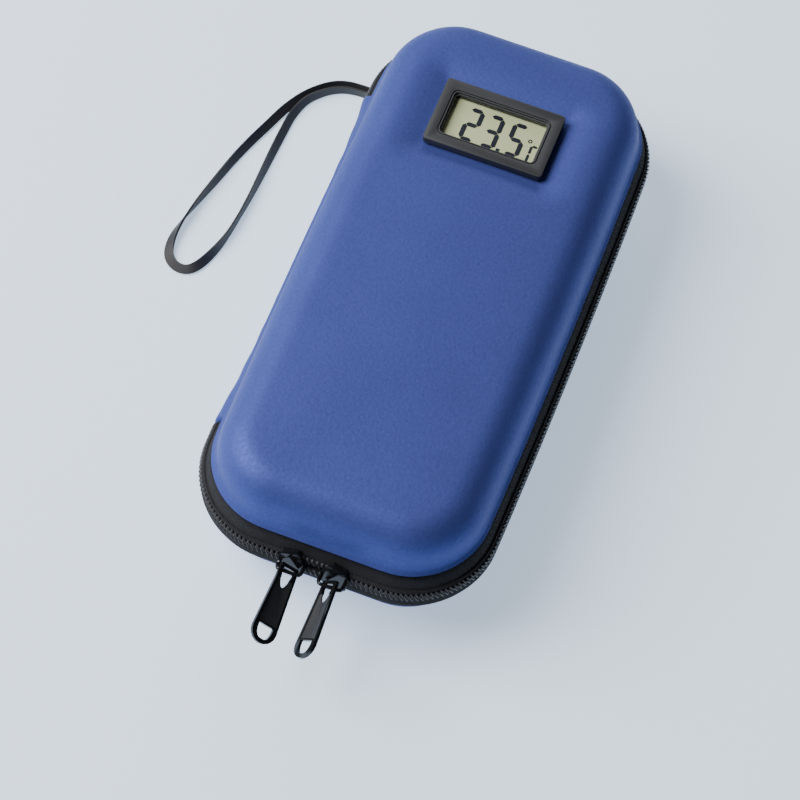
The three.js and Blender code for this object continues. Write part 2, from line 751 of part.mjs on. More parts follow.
addPiece('display_frame', frameGeometry(), blackPlastic());
addPiece('display_back', backGeometry(), blackPlastic());
addPiece('battery_cover', coverGeometry(), blackPlastic());
const layerWidth = innerWidth - 2 * gap;
const layerLength = innerLength - 2 * gap;
addPiece('display_lens', atDisplay(layerWidth, layerLength, lensThickness, lensZ), clearPlastic());
addPiece('lcd_panel', atDisplay(layerWidth, layerLength, lcdThickness, lcdZ), liquidCrystal());
addPiece('circuit_board', atDisplay(layerWidth, layerLength, boardThickness, boardZ), greenBoard());
for (const [name, side] of [['upper', 1], ['lower', -1]]) {
  const place = side * (innerLength / 2 - gap - contactStripWidth);
  const strip = atDisplay(
    innerWidth - 4 * gap, contactStripWidth, contactStripThickness, contactStripZ, 0, place,
  );
  addPiece(`contact_strip_${name}`, strip, blackNylon());
}
for (const [name, side] of [['left', -1], ['right', 1]]) {
  const cell = new THREE.CylinderGeometry(cellDiameter / 2, cellDiameter / 2, cellHeight, roundSegments);
  cell.rotateX(Math.PI / 2);
  cell.translate(displayX + side * (cellDiameter / 2 + gap), displayY, cellZ + cellHeight / 2);
  addPiece(`button_cell_${name}`, cell, steel());
  addPiece(`panel_clip_${name}`, clipGeometry(side), steel());
}
const springY = innerLength / 2 - springLeafWidth;
const springLeaf = atDisplay(2 * cellDiameter, springLeafWidth, springLeafThickness, springLeafZ, 0, springY);
addPiece('battery_spring', springLeaf, steel());

// Ice packs: pillows that are thickest in the middle and thin at a welded edge

function pillowGeometry(width, length, thickness, x, y, z) {
  const levels = [
    { share: 0.86, height: 0 },
    { share: 0.97, height: 0.25 },
    { share: 1, height: 0.5 },
    { share: 0.97, height: 0.75 },
    { share: 0.86, height: 1 },
  ];
  const outline = roundedRectangle(width, length, packCornerRadius).getPoints(4);
  outline.pop();
  return loft(levels.map((level) => outline.map((point) => new THREE.Vector3(
    x + point.x * level.share,
    y + point.y * (1 - ((1 - level.share) * width) / length),
    z + thickness * level.height,
  ))));
}

const insideHalfWidth = halfWidth - sideBow - liningInset - wallDraft - gap;
const insideHalfLength = halfLength - liningInset - wallDraft - gap;
const floorSetback = baseLiningSkin.radius - liningThickness;
const packWidth = 2 * (insideHalfWidth - packSideRoom);
const padWidth = 2 * (insideHalfWidth - padSideRoom);
const padLength = 2 * (insideHalfLength - floorSetback);

// The height inside, less what the pad, loops and net take up, is shared by the two packs.
const layersHeight = padThickness + loopBandThickness + loopHeight + netBindingThickness + netThickness;
const packRoom = lidCeilingZ - baseFloorZ - layersHeight - loopRoom - 6 * gap;
const packThickness = packRoom * basePackShare;
const lidPackThickness = packRoom - packThickness;
const netEdgeY = displayY - bodyLength / 2 - netPlaceFromDisplay;
const lidPackStartY = floorSetback - insideHalfLength;
const lidPackEndY = netEdgeY - netBindingWidth;
const padZ = baseFloorZ + packThickness + 2 * gap;
addPiece(
  'base_ice_pack',
  pillowGeometry(packWidth, padLength - 2 * packSideRoom, packThickness, 0, 0, baseFloorZ + gap),
  blueGel(),
);
addPiece(
  'lid_ice_pack',
  pillowGeometry(
    packWidth, lidPackEndY - lidPackStartY, lidPackThickness,
    0, (lidPackEndY + lidPackStartY) / 2, lidCeilingZ - gap - lidPackThickness,
  ),
  blueGel(),
);

// Pen board with two rows of elastic loops sewn across it

addPiece(
  'pen_board',
  slab(roundedRectangle(padWidth, padLength, packCornerRadius), padThickness, 4).translate(0, 0, padZ),
  blackCloth(),
);

// The loops and the feet between them fill the pad's width evenly.
const loopPitch = (padWidth - 2 * loopFoot) / loopCount;
const loopWidth = loopPitch - loopFoot;

function loopRowShape() {
  const points = [];
  const footZ = loopBandThickness / 2;
  const start = (-loopCount * loopPitch) / 2;
  points.push(new THREE.Vector2(start - loopFoot, footZ));
  for (let loop = 0; loop < loopCount; loop += 1) {
    const left = start + loop * loopPitch + loopFoot / 2;
    points.push(new THREE.Vector2(left - loopBandThickness / 2, footZ));
    const arcSteps = 8;
    for (let k = 1; k < arcSteps; k += 1) {
      const angle = Math.PI - (k * Math.PI) / arcSteps;
      points.push(new THREE.Vector2(
        left + (loopWidth / 2) * (1 + Math.cos(angle)),
        footZ + loopHeight * Math.sin(angle),
      ));
    }
    points.push(new THREE.Vector2(left + loopWidth + loopBandThickness / 2, footZ));
  }
  points.push(new THREE.Vector2(-start + loopFoot, footZ));
  return new THREE.Shape(stripProfile(points, loopBandThickness));
}

const loopZ = padZ + padThickness + gap;
loopRowShares.forEach((share, index) => {
  const place = share * insideHalfLength;
  const row = slab(loopRowShape(), loopBandLength, 1);
  row.rotateX(Math.PI / 2);
  row.translate(0, place + loopBandLength / 2, loopZ);
  addPiece(`pen_loops_${index === 0 ? 'lower' : 'upper'}`, row, blackCloth());
});

// Net pocket that holds the lid's ice pack, with its bound edge below the thermometer

const netZ = lidCeilingZ - lidPackThickness - 2 * gap - netThickness;
const netInset = liningInset + wallDraft + gap;
const netHalfWidth = halfWidth - sideBow - netInset;

function netGeometry() {
  const stations = outlineLoop(linerSteps);
  const edge = stations
    .map((station) => insetPoint(station, netInset, 0))
    .filter((point) => point.y < netEdgeY - cornerRadius / 2);
  const below = edge.filter((point) => point.x >= 0).sort((a, b) => a.y - b.y);
  const right = below.map((point) => new THREE.Vector2(point.x, point.y));
  const outline = [
    ...right,
    new THREE.Vector2(netHalfWidth, netEdgeY),
    new THREE.Vector2(-netHalfWidth, netEdgeY),
    ...right.slice().reverse().map((point) => new THREE.Vector2(-point.x, point.y)),
  ];
  return slab(new THREE.Shape(outline), netThickness, 1).translate(0, 0, netZ);
}

addPiece('net_pocket', netGeometry(), blackCloth());
addPiece(
  'net_binding',
  box(
    2 * netHalfWidth, netBindingWidth, netBindingThickness,
    0, netEdgeY - netBindingWidth / 2, netZ - gap - netBindingThickness,
  ),
  blackCloth(),
);

// Wrist strap: a tab sewn to the base's wall below the zip holds both ends of one loop of
// webbing, which drops from it and lies on the table

const strapTabZ = partingZ - rimRise - strapTabDrop - strapTabHeight;
const strapExitZ = strapTabZ + (strapTabHeight - strapWidth) / 2;
const tabWideY = strapTabY - strapTabLength / 2;
const tabWallX = rimInset + sideBow * (tabWideY / halfLength) ** 2 - halfWidth;
addPiece(
  'strap_tab',
  box(
    strapTabThickness, strapTabLength, strapTabHeight,
    tabWallX - gap - strapTabThickness / 2, strapTabY, strapTabZ,
  ),
  blackCloth(),
);

// Each place along the webbing's lower edge: two lengths over the table, its height as a share
// of the tab's height, and how far it stands up from lying flat as a share of a right angle.
const strapRoute = [
  [-42.95, 67.3, 1, 1], [-43, 71, 0.94, 1], [-43.7, 75.4, 0.69, 1.05], [-45.8, 79.2, 0.36, 1.15],
  [-49.2, 81.6, 0.08, 1.25], [-53, 82.2, 0, 1.3], [-57.4, 81.8, 0, 1.33], [-61.5, 80.3, 0, 1.33],
  [-65.4, 77.3, 0, 1.33], [-69.5, 72.5, 0, 1.3], [-73.2, 65.6, 0, 1.25], [-76.2, 57.2, 0, 1.15],
  [-79, 49, 0, 1], [-81.3, 41, 0, 0.9], [-83.6, 31.2, 0, 0.85], [-85.8, 22, 0, 0.75],
  [-87.6, 13.2, 0, 0.55], [-88.2, 6.2, 0, 0.35], [-87, 0.4, 0, 0.15], [-83.8, -2.6, 0, 0.1],
  [-79.8, -2.7, 0, 0.1], [-76.6, 0.4, 0, 0.3], [-73.9, 7, 0, 0.65], [-72.4, 14, 0, 0.9],
  [-71.6, 22, 0, 1.05], [-71.1, 30.5, 0, 1.1], [-70.9, 39, 0, 1.1], [-70.8, 47.5, 0, 1],
  [-70.6, 56, 0, 0.85], [-70.1, 64.2, 0, 0.75], [-68, 71.1, 0, 0.8], [-64.3, 75.7, 0, 0.85],
  [-60.7, 78.5, 0, 0.9], [-57, 80, 0, 0.95], [-53, 80.5, 0, 1], [-50, 79.9, 0.08, 1],
  [-47, 77.9, 0.36, 1], [-44.9, 74.6, 0.69, 1], [-44.15, 71, 0.94, 1], [-44.05, 67.3, 1, 1],
];

function strapGeometry() {
  const steps = strapRoute.length - 1;
  const leanAt = (share) => {
    const index = Math.min(Math.floor(share * steps), steps - 1);
    const part = share * steps - index;
    const [here, next] = [strapRoute[index][3], strapRoute[index + 1][3]];
    return (Math.PI / 2) * (here + (next - here) * part);
  };
  const middleHeight = (lean) =>
    (strapWidth / 2) * Math.sin(lean) + (strapThickness / 2) * Math.abs(Math.cos(lean));
  const curve = new THREE.CatmullRomCurve3(strapRoute.map(([x, y, heightShare], index) => {
    const edgeZ = strapTableGap + heightShare * (strapExitZ - strapTableGap);
    return new THREE.Vector3(x, y, edgeZ + middleHeight(leanAt(index / steps)));
  }));
  const rings = [];
  for (let k = 0; k <= strapStations; k += 1) {
    const share = k / strapStations;
    const point = curve.getPoint(share);
    const tangent = curve.getTangent(share);
    const level = new THREE.Vector3(-tangent.y, tangent.x, 0).normalize();
    const upright = new THREE.Vector3().crossVectors(tangent, level);
    const lean = leanAt(share);
    const across = level.clone().multiplyScalar(Math.cos(lean)).addScaledVector(upright, Math.sin(lean));
    const through = new THREE.Vector3().crossVectors(tangent, across);
    const corner = (a, t) => point.clone()
      .addScaledVector(across, (a * strapWidth) / 2)
      .addScaledVector(through, (t * strapThickness) / 2);
    rings.push([corner(-1, -1), corner(1, -1), corner(1, 1), corner(-1, 1)]);
  }
  return loft(rings);
}

addPiece('wrist_strap', strapGeometry(), blackCloth());

export default group;
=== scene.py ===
"""The visual model of the insulin cooling case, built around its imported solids.

Run as a script inside Blender. Lengths are metres, +Z is up, +Y is the thermometer's end and -X the
side of the cloth hinge.
"""

import json
import math

import bmesh
import bpy
import numpy as np
from bpy.props import FloatProperty, FloatVectorProperty, IntProperty, PointerProperty
from mathutils import Matrix, Vector


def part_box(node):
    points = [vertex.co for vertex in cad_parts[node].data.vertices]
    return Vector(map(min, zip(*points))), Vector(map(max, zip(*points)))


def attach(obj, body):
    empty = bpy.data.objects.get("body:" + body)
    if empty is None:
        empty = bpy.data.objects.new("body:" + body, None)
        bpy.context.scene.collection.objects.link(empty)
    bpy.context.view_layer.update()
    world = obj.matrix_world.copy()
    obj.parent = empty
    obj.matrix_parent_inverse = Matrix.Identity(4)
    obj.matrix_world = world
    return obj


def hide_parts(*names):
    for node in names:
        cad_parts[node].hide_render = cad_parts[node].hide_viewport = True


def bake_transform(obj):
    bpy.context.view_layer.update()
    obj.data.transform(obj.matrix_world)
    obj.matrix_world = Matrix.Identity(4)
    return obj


bl_info = {
    "name": "Insulin Cooling Case",
    "version": (1, 0, 0),
    "blender": (4, 5, 0),
    "location": "3D View > Sidebar > Case",
    "description": "Builds the case, its zip, display, strap and inside",
    "category": "Add Mesh",
}

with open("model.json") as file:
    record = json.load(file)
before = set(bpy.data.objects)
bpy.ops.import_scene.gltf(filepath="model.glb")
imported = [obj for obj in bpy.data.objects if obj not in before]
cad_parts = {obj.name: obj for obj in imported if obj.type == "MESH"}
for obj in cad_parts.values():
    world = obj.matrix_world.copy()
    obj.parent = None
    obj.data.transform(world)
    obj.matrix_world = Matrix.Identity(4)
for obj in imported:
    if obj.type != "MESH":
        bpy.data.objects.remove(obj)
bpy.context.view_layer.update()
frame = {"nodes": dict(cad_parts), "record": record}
NODES = frame["nodes"]

MM = 0.001
PARTING_Z = 0.025

# The strap's lower edge: x and y in millimetres, height as a share of the tab's, lean as a share
# of a right angle. It repeats the route of the solid, with more twist in the two legs.
STRAP_ROUTE = (
    (-42.95, 67.3, 1, 1), (-43, 71, 0.94, 1), (-43.7, 75.4, 0.69, 1.05), (-45.8, 79.2, 0.36, 1.15),
    (-49.2, 81.6, 0.08, 1.25), (-53, 82.2, 0, 1.3), (-57.4, 81.8, 0, 1.33), (-61.5, 80.3, 0, 1.36),
    (-65.4, 77.3, 0, 1.4), (-69.5, 72.5, 0, 1.48), (-73.2, 65.6, 0, 1.55), (-76.2, 57.2, 0, 1.55),
    (-79, 49, 0, 1.48), (-81.3, 41, 0, 1.38), (-83.6, 31.2, 0, 1.25), (-85.8, 22, 0, 1.05),
    (-87.6, 13.2, 0, 0.75), (-88.2, 6.2, 0, 0.45), (-87, 0.4, 0, 0.2), (-83.8, -2.6, 0, 0.12),
    (-79.8, -2.7, 0, 0.15), (-76.6, 0.4, 0, 0.35), (-73.9, 7, 0, 0.7), (-72.4, 14, 0, 0.92),
    (-71.6, 22, 0, 0.96), (-71.1, 30.5, 0, 0.86), (-70.9, 39, 0, 0.72), (-70.8, 47.5, 0, 0.58),
    (-70.6, 56, 0, 0.5), (-70.1, 64.2, 0, 0.55), (-68, 71.1, 0, 0.7), (-64.3, 75.7, 0, 0.85),
    (-60.7, 78.5, 0, 0.9), (-57, 80, 0, 0.95), (-53, 80.5, 0, 1), (-50, 79.9, 0.08, 1),
    (-47, 77.9, 0.36, 1), (-44.9, 74.6, 0.69, 1), (-44.15, 71, 0.94, 1), (-44.05, 67.3, 1, 1),
)


def length(name, description, default):
    """A length property in metres."""
    return FloatProperty(name=name, description=description, default=default, unit="LENGTH", precision=5)


def colour(name, description, default):
    """A colour property."""
    return FloatVectorProperty(
        name=name, description=description, default=default, subtype="COLOR", min=0.0, max=1.0
    )


class CaseSizes(bpy.types.PropertyGroup):
    """Sizes that a user would change."""

    case_width: length("Case width", "Over the zip", 0.095)
    case_length: length("Case length", "Over the zip", 0.195)
    corner_radius: length("Corner radius", "Of the case's outline", 0.028)
    side_bow: length("Side bow", "How far the long sides bulge", 0.0014)
    rim_inset: length("Rim inset", "From the zip's edge in to the shell's rim", 0.0052)
    rim_rise: length("Rim rise", "From the parting up to the shell's rim", 0.007)
    rim_flare: length("Rim flare", "How far the shell's wall runs out at its rim", 0.0016)
    shoulder_radius: length("Shoulder radius", "Between wall and top", 0.011)
    lid_top: length("Lid top", "Height of the lid's shoulder over the parting", 0.0233)
    crown_rise: length("Crown rise", "How far the lid's top bulges", 0.0009)
    dent_depth: length("Dent depth", "Of the lid round the display", 0.0023)
    dent_reach: length("Dent reach", "How far out from the display the dent runs", 0.0115)
    tooth_pitch: length("Tooth pitch", "Along one row of the zip", 0.00155)
    row_width: length("Row width", "Across one row of teeth", 0.0024)
    strap_width: length("Strap width", "Of the webbing", 0.0032)
    strap_thickness: length("Strap thickness", "Of the webbing", 0.0007)
    corner_steps: IntProperty(name="Corner steps", description="Facets in a corner", default=14)


class CaseColours(bpy.types.PropertyGroup):
    """Colours that a user would change."""

    cover: colour("Cover", "Blue synthetic leather", (0.060, 0.082, 0.30))
    cloth: colour("Cloth", "Black tape and webbing", (0.012, 0.012, 0.014))
    nylon: colour("Nylon", "Zip teeth", (0.08, 0.08, 0.086))
    gunmetal: colour("Black nickel", "Sliders and the rims of the pullers", (0.042, 0.044, 0.048))
    # The sunk faces' colour and finish apart from the rim are partly painted light: the grey that the flat faces
    # catch.
    tag: colour("Puller face", "Sunk faces of the pullers", (0.022, 0.023, 0.025))
    bezel: colour("Bezel", "Display frame", (0.030, 0.032, 0.036))
    crystal: colour("Display", "Liquid crystal", (0.64, 0.69, 0.40))
    gel: colour("Ice packs", "Blue film over gel", (0.16, 0.38, 0.72))
    foil: colour("Foil", "Lining", (0.62, 0.64, 0.66))


# Case outline, as in the solids


def outline_loop(sizes, corner, long, short):
    """Rows of x, y and outward normal round the case's widest line, from the hinge side's middle."""
    half_w, half_l, r = sizes.case_width / 2, sizes.case_length / 2, sizes.corner_radius
    cx, cy = half_w - r, half_l - r
    rows = []

    def add(x, y, nx, ny):
        narrowing = (sizes.side_bow / half_w) * (y / half_l) ** 2
        slope = -2 * (sizes.side_bow / half_w) * y / half_l**2
        tangent = Vector((ny * (1 - narrowing) - x * slope * nx, -nx)).normalized()
        rows.append((x * (1 - narrowing), y, -tangent.y, tangent.x))

    def straight(x0, y0, x1, y1, nx, ny, count):
        for k in range(count):
            add(x0 + (x1 - x0) * k / count, y0 + (y1 - y0) * k / count, nx, ny)

    def arc(x, y, start):
        for k in range(corner):
            a = start - k * math.pi / 2 / corner
            add(x + r * math.cos(a), y + r * math.sin(a), math.cos(a), math.sin(a))

    straight(-half_w, 0, -half_w, cy, -1, 0, long // 2)
    arc(-cx, cy, math.pi)
    straight(-cx, half_l, cx, half_l, 0, 1, short)
    arc(cx, cy, math.pi / 2)
    straight(half_w, cy, half_w, -cy, 1, 0, long)
    arc(cx, -cy, 0)
    straight(cx, -half_l, -cx, -half_l, 0, -1, short)
    arc(-cx, -cy, -math.pi / 2)
    straight(-half_w, -cy, -half_w, 0, -1, 0, long // 2)
    return np.array(rows)


class ZipPath:
    """Places along the zip's line, by distance from the hinge side's middle."""

    def __init__(self, sizes):
        rows = outline_loop(sizes, 48, 96, 32)
        self.rows = np.vstack([rows, rows[:1]])
        steps = np.hypot(*np.diff(self.rows[:, :2], axis=0).T)
        self.distances = np.concatenate([[0], np.cumsum(steps)])
        self.length = self.distances[-1]
        self.tilt = math.radians(15)
        self.setback = sizes.row_width * math.sin(self.tilt)

    def at(self, distance):
        """x, y and outward normal at a distance."""
        d = distance % self.length
        x, y, nx, ny = (np.interp(d, self.distances, self.rows[:, k]) for k in range(4))
        size = math.hypot(nx, ny)
        return x, y, nx / size, ny / size

    def chain(self, station, out, across):
        """A point out of the zip's face and across it towards the lid."""
        cos, sin = math.cos(self.tilt), math.sin(self.tilt)
        inset = self.setback - out * cos + across * sin
        return inset_point(station, inset, PARTING_Z + out * sin + across * cos)


def inset_point(station, inset, z):
    """A point that lies an inset within the outline, at a height."""
    x, y, nx, ny = station
    return Vector((x - nx * inset, y - ny * inset, z))


# Modelling helpers


def deselect():
    """Leaves nothing selected, so that an operator only acts on the new piece."""
    if bpy.context.object and bpy.context.object.mode != "OBJECT":
        bpy.ops.object.mode_set(mode="OBJECT")
    bpy.ops.object.select_all(action="DESELECT")


def pick(obj):
    """Makes one object the only selected and the active one."""
    deselect()
    obj.select_set(True)
    bpy.context.view_layer.objects.active = obj


def started(name):
    """Names the primitive that was just added."""
    obj = bpy.context.object
    obj.name = name
    obj.data.name = name
    return obj


def apply_place(obj):
    """Puts an object's place, turn and size into its mesh."""
    pick(obj)
    bpy.ops.object.transform_apply(location=True, rotation=True, scale=True)
    return obj


def apply_modifiers(obj):
    """Applies every modifier of an object in order."""
    pick(obj)
    for modifier in list(obj.modifiers):
        bpy.ops.object.modifier_apply(modifier=modifier.name)
    return obj


def outward(obj):
    """Merges doubles and turns the faces outwards."""
    pick(obj)
    bpy.ops.object.mode_set(mode="EDIT")
    bpy.ops.mesh.select_all(action="SELECT")
    bpy.ops.mesh.remove_doubles(threshold=1e-7)
    bpy.ops.mesh.normals_make_consistent(inside=False)
    bpy.ops.object.mode_set(mode="OBJECT")
    return obj


def soften(obj, angle=40):
    """Smooth shading, with edges sharper than an angle kept."""
    pick(obj)
    bpy.ops.object.shade_smooth_by_angle(angle=math.radians(angle))
    return obj


def round_edges(obj, width, segments=2, angle=35):
    """Rounds the sharp edges of a piece."""
    modifier = obj.modifiers.new("Round", "BEVEL")
    modifier.width = width
    modifier.segments = segments
    modifier.limit_method = "ANGLE"
    modifier.angle_limit = math.radians(angle)
    modifier.harden_normals = False
    return apply_modifiers(obj)


def subdivide(obj, levels=1):
    """Subdivides a piece smoothly."""
    modifier = obj.modifiers.new("Smooth", "SUBSURF")
    modifier.levels = levels
    modifier.render_levels = levels
    return apply_modifiers(obj)


def skin(name, rings, ends=True, ridge=None):
    """Extrudes a circle of edges from ring to ring and fills its ends.

    A ridge is the place in the last ring from which both its sides run alongside each other, so
    that they are bridged instead of filled with one flat face.
    """
    deselect()
    count = len(rings[0])
    bpy.ops.mesh.primitive_circle_add(vertices=count, radius=0.01, fill_type="NOTHING")
    obj = started(name)
    for vertex, place in zip(obj.data.vertices, rings[0]):
        vertex.co = place
    bpy.ops.object.mode_set(mode="EDIT")
    bpy.ops.mesh.select_mode(type="VERT")
    bpy.ops.mesh.select_all(action="SELECT")
    order = {k: k for k in range(count)}
    for ring in rings[1:]:
        bpy.ops.mesh.extrude_edges_move()
        mesh = bmesh.from_edit_mesh(obj.data)
        mesh.verts.index_update()
        new_order = {}
        for vertex in mesh.verts:
            if vertex.select:
                below = next(
                    e.other_vert(vertex) for e in vertex.link_edges if not e.other_vert(vertex).select
                )
                new_order[vertex.index] = order[below.index]
        for vertex in mesh.verts:
            if vertex.select:
                vertex.co = ring[new_order[vertex.index]]
        order = new_order
        bmesh.update_edit_mesh(obj.data)
    if ridge is not None:
        bridge_ridge(obj, order, ridge)
    bpy.ops.object.mode_set(mode="OBJECT")
    return fill_ends(obj) if ends else outward(obj)


def fill_ends(obj):
    """Closes the open ends of a piece with flat faces."""
    pick(obj)
    bpy.ops.object.mode_set(mode="EDIT")
    bpy.ops.mesh.select_all(action="SELECT")
    bpy.ops.mesh.fill_holes(sides=0)
    bpy.ops.object.mode_set(mode="OBJECT")
    return outward(obj)


def bridge_ridge(obj, order, ridge):
    """Bridges the two sides of the last ring, which meet at a place in it and opposite."""
    count = len(order)
    far = (ridge + count // 2) % count
    bpy.ops.mesh.select_mode(type="EDGE")
    bpy.ops.mesh.select_all(action="DESELECT")
    mesh = bmesh.from_edit_mesh(obj.data)
    for edge in mesh.edges:
        places = [order.get(v.index) for v in edge.verts]
        edge.select = None not in places and not {ridge, far} & set(places)
    bmesh.update_edit_mesh(obj.data)
    bpy.ops.mesh.bridge_edge_loops()
    bpy.ops.mesh.select_mode(type="VERT")


def joined(name, parts):
    """Joins several objects into one mesh."""
    deselect()
    for part in parts:
        part.select_set(True)
    bpy.context.view_layer.objects.active = parts[0]
    bpy.ops.object.join()
    return started(name)


def block(name, size, centre, bevel=0.0, segments=2):
    """A box, with its edges rounded."""
    deselect()
    bpy.ops.mesh.primitive_cube_add(size=1, location=centre, scale=size)
    obj = apply_place(started(name))
    if bevel:
        round_edges(obj, bevel, segments)
    return obj


def rounded_plate(name, width, span, radius, low, high, centre, segments=6):
    """A plate with rounded corners between two heights."""
    deselect()
    bpy.ops.mesh.primitive_plane_add(size=1, location=(centre[0], centre[1], low))
    obj = started(name)
    obj.scale = (width, span, 1)
    apply_place(obj)
    bpy.ops.object.mode_set(mode="EDIT")
    bpy.ops.mesh.select_all(action="SELECT")
    bpy.ops.mesh.bevel(offset=radius, segments=segments, affect="VERTICES")
    bpy.ops.mesh.select_all(action="SELECT")
    bpy.ops.mesh.extrude_region_move(TRANSFORM_OT_translate={"value": (0, 0, high - low)})
    bpy.ops.object.mode_set(mode="OBJECT")
    return outward(obj)


def cut(obj, cutter, solver="EXACT"):
    """Cuts one piece out of another."""
    modifier = obj.modifiers.new("Cut", "BOOLEAN")
    modifier.operation = "DIFFERENCE"
    modifier.solver = solver
    modifier.object = cutter
    apply_modifiers(obj)
    bpy.data.objects.remove(cutter)
    return obj


def copy_node(name, node, bevel, segments=2, angle=32):
    """A copy of a solid with its facets merged and its edges rounded."""
    obj = NODES[node].copy()
    obj.data = NODES[node].data.copy()
    obj.parent = None
    obj.hide_render = False
    obj.hide_viewport = False
    bpy.context.collection.objects.link(obj)
    obj.name = name
    obj.data.name = name
    pick(obj)
    bpy.ops.object.mode_set(mode="EDIT")
    bpy.ops.mesh.select_all(action="SELECT")
    bpy.ops.mesh.remove_doubles(threshold=1e-6)
    bpy.ops.mesh.dissolve_limited(angle_limit=math.radians(1.0))
    bpy.ops.object.mode_set(mode="OBJECT")
    if bevel:
        modifier = obj.modifiers.new("Round", "BEVEL")
        modifier.width = bevel
        modifier.segments = segments
        modifier.limit_method = "ANGLE"
        modifier.angle_limit = math.radians(angle)
        modifier.use_clamp_overlap = True
        apply_modifiers(obj)
    return soften(obj, 35)


def finish_piece(obj, material, body, slot, *nodes):
    """Gives a piece its material and body, and hides the solids that it stands for."""
    obj.data.materials.clear()
    obj.data.materials.append(material)
    if body:
        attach(obj, body)
    if nodes:
        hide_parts(*nodes)
    return obj


def dress(node, material):
    """Gives a carried-over solid its finish."""
    obj = NODES[node]
    obj.data.materials.clear()
    obj.data.materials.append(material)


# Materials


class Finish:
    """A node material under construction."""

    def __init__(self, name, colour_value, roughness, metallic=0.0, **sockets):
        self.material = bpy.data.materials.new(name)
        self.material.use_nodes = True
        self.tree = self.material.node_tree
        self.shader = self.tree.nodes["Principled BSDF"]
        self.shader.inputs["Base Color"].default_value = (*colour_value, 1)
        self.shader.inputs["Roughness"].default_value = roughness
        self.shader.inputs["Metallic"].default_value = metallic
        for key, value in sockets.items():
            self.shader.inputs[key.replace("_", " ")].default_value = value
        self.colour = colour_value
        self.where = self.add("ShaderNodeTexCoord").outputs["Object"]
        self.height = None

    def add(self, kind, **inputs):
        node = self.tree.nodes.new(kind)
        for key, value in inputs.items():
            socket = node.inputs[key.replace("_", " ")]
            if isinstance(value, bpy.types.NodeSocket):
                self.tree.links.new(value, socket)
            else:
                socket.default_value = value
        return node

    def maths(self, operation, a, b=0.0):
        node = self.tree.nodes.new("ShaderNodeMath")
        node.operation = operation
        for socket, value in zip(node.inputs, (a, b)):
            if isinstance(value, bpy.types.NodeSocket):
                self.tree.links.new(value, socket)
            else:
                socket.default_value = value
        return node.outputs[0]

    def noise(self, scale, detail=2.0, stretch=None):
        where = self.where
        if stretch:
            mapping = self.add("ShaderNodeMapping", Vector=where, Scale=stretch)
            where = mapping.outputs[0]
        return self.add("ShaderNodeTexNoise", Vector=where, Scale=scale, Detail=detail).outputs["Fac"]

    def wave(self, scale, direction="X", profile="SIN", distortion=0.0, where=None):
        node = self.add(
            "ShaderNodeTexWave", Vector=where or self.where, Scale=scale, Distortion=distortion
        )
        node.bands_direction = direction
        node.wave_profile = profile
        return node.outputs["Fac"]

    def shade(self, factor, dark, light):
        """Varies the colour between two strengths of itself."""
        mix = self.tree.nodes.new("ShaderNodeMix")
        mix.data_type = "RGBA"
        self.tree.links.new(factor, mix.inputs[0])
        mix.inputs[6].default_value = (*[min(c * dark, 1) for c in self.colour], 1)
        mix.inputs[7].default_value = (*[min(c * light, 1) for c in self.colour], 1)
        self.tree.links.new(mix.outputs[2], self.shader.inputs["Base Color"])
        return self

    def vary_roughness(self, factor, low, high):
        span = self.add(
            "ShaderNodeMapRange", Value=factor, From_Min=0.3, From_Max=0.7, To_Min=low, To_Max=high
        )
        self.tree.links.new(span.outputs[0], self.shader.inputs["Roughness"])
        return self

    def bump(self, factor, distance, strength=1.0):
        node = self.add("ShaderNodeBump", Height=factor, Distance=distance, Strength=strength)
        if self.height is not None:
            self.tree.links.new(self.height, node.inputs["Normal"])
        self.height = node.outputs[0]
        self.tree.links.new(self.height, self.shader.inputs["Normal"])
        return self


def cover_finish(colours):
    """Satin blue synthetic leather with a fine grain."""
    finish = Finish(
        "blue_cover", colours.cover, 0.55, 0.4, Specular_IOR_Level=0.06, Sheen_Weight=0.04,
        Sheen_Roughness=0.25, Sheen_Tint=(1.0, 0.8, 0.76, 1.0),
    )
    grain = finish.maths("ADD", finish.noise(1100, 3), finish.maths("MULTIPLY", finish.noise(45, 3), 0.5))
    finish.shade(finish.maths("SUBTRACT", grain, 0.25), 0.82, 1.2)
    finish.vary_roughness(finish.noise(900, 2), 0.5, 0.6)
    finish.bump(finish.noise(2400, 3), 0.00007, 0.5)
    finish.bump(finish.noise(900, 2), 0.00016, 0.4)
    return finish.material


def woven_finish(name, colour_value, pitch, sheen=0.03):
    """A tight twill on Object coordinates, its ribs a pitch apart."""
    finish = Finish(name, colour_value, 0.8, Sheen_Weight=sheen, Sheen_Roughness=0.5, Specular_IOR_Level=0.25)
    ribs = finish.wave(0.444 / pitch, "DIAGONAL")
    threads = finish.wave(0.628 / pitch, "Z", distortion=0.6)
    weave = finish.maths("MULTIPLY", ribs, finish.maths("ADD", threads, 0.6))
    finish.shade(finish.maths("MULTIPLY", finish.maths("ADD", weave, finish.noise(600)), 0.5), 0.6, 1.9)
    finish.bump(weave, 0.00016, 0.7)
    return finish.material


def webbing_finish(colours):
    """Flat webbing with ribs across it, on its own UV map."""
    finish = Finish("webbing", tuple(2.2 * c for c in colours.cloth), 0.6, Sheen_Weight=0.15, Sheen_Roughness=0.4)
    uv = finish.add("ShaderNodeTexCoord").outputs["UV"]
    ribs = finish.wave(260, "X", where=uv)
    threads = finish.wave(1.4, "Y", where=uv)
    finish.shade(finish.maths("MULTIPLY", ribs, finish.maths("ADD", threads, 0.4)), 0.6, 1.7)
    finish.bump(ribs, 0.00015, 0.8)
    finish.bump(threads, 0.0001, 0.5)
    return finish.material


def nylon_finish(colours):
    """Moulded nylon of the teeth."""
    finish = Finish("nylon_teeth", colours.nylon, 0.36, Specular_IOR_Level=0.35)
    finish.shade(finish.noise(1500), 0.8, 1.4)
    finish.bump(finish.noise(3000), 0.00003, 0.4)
    return finish.material


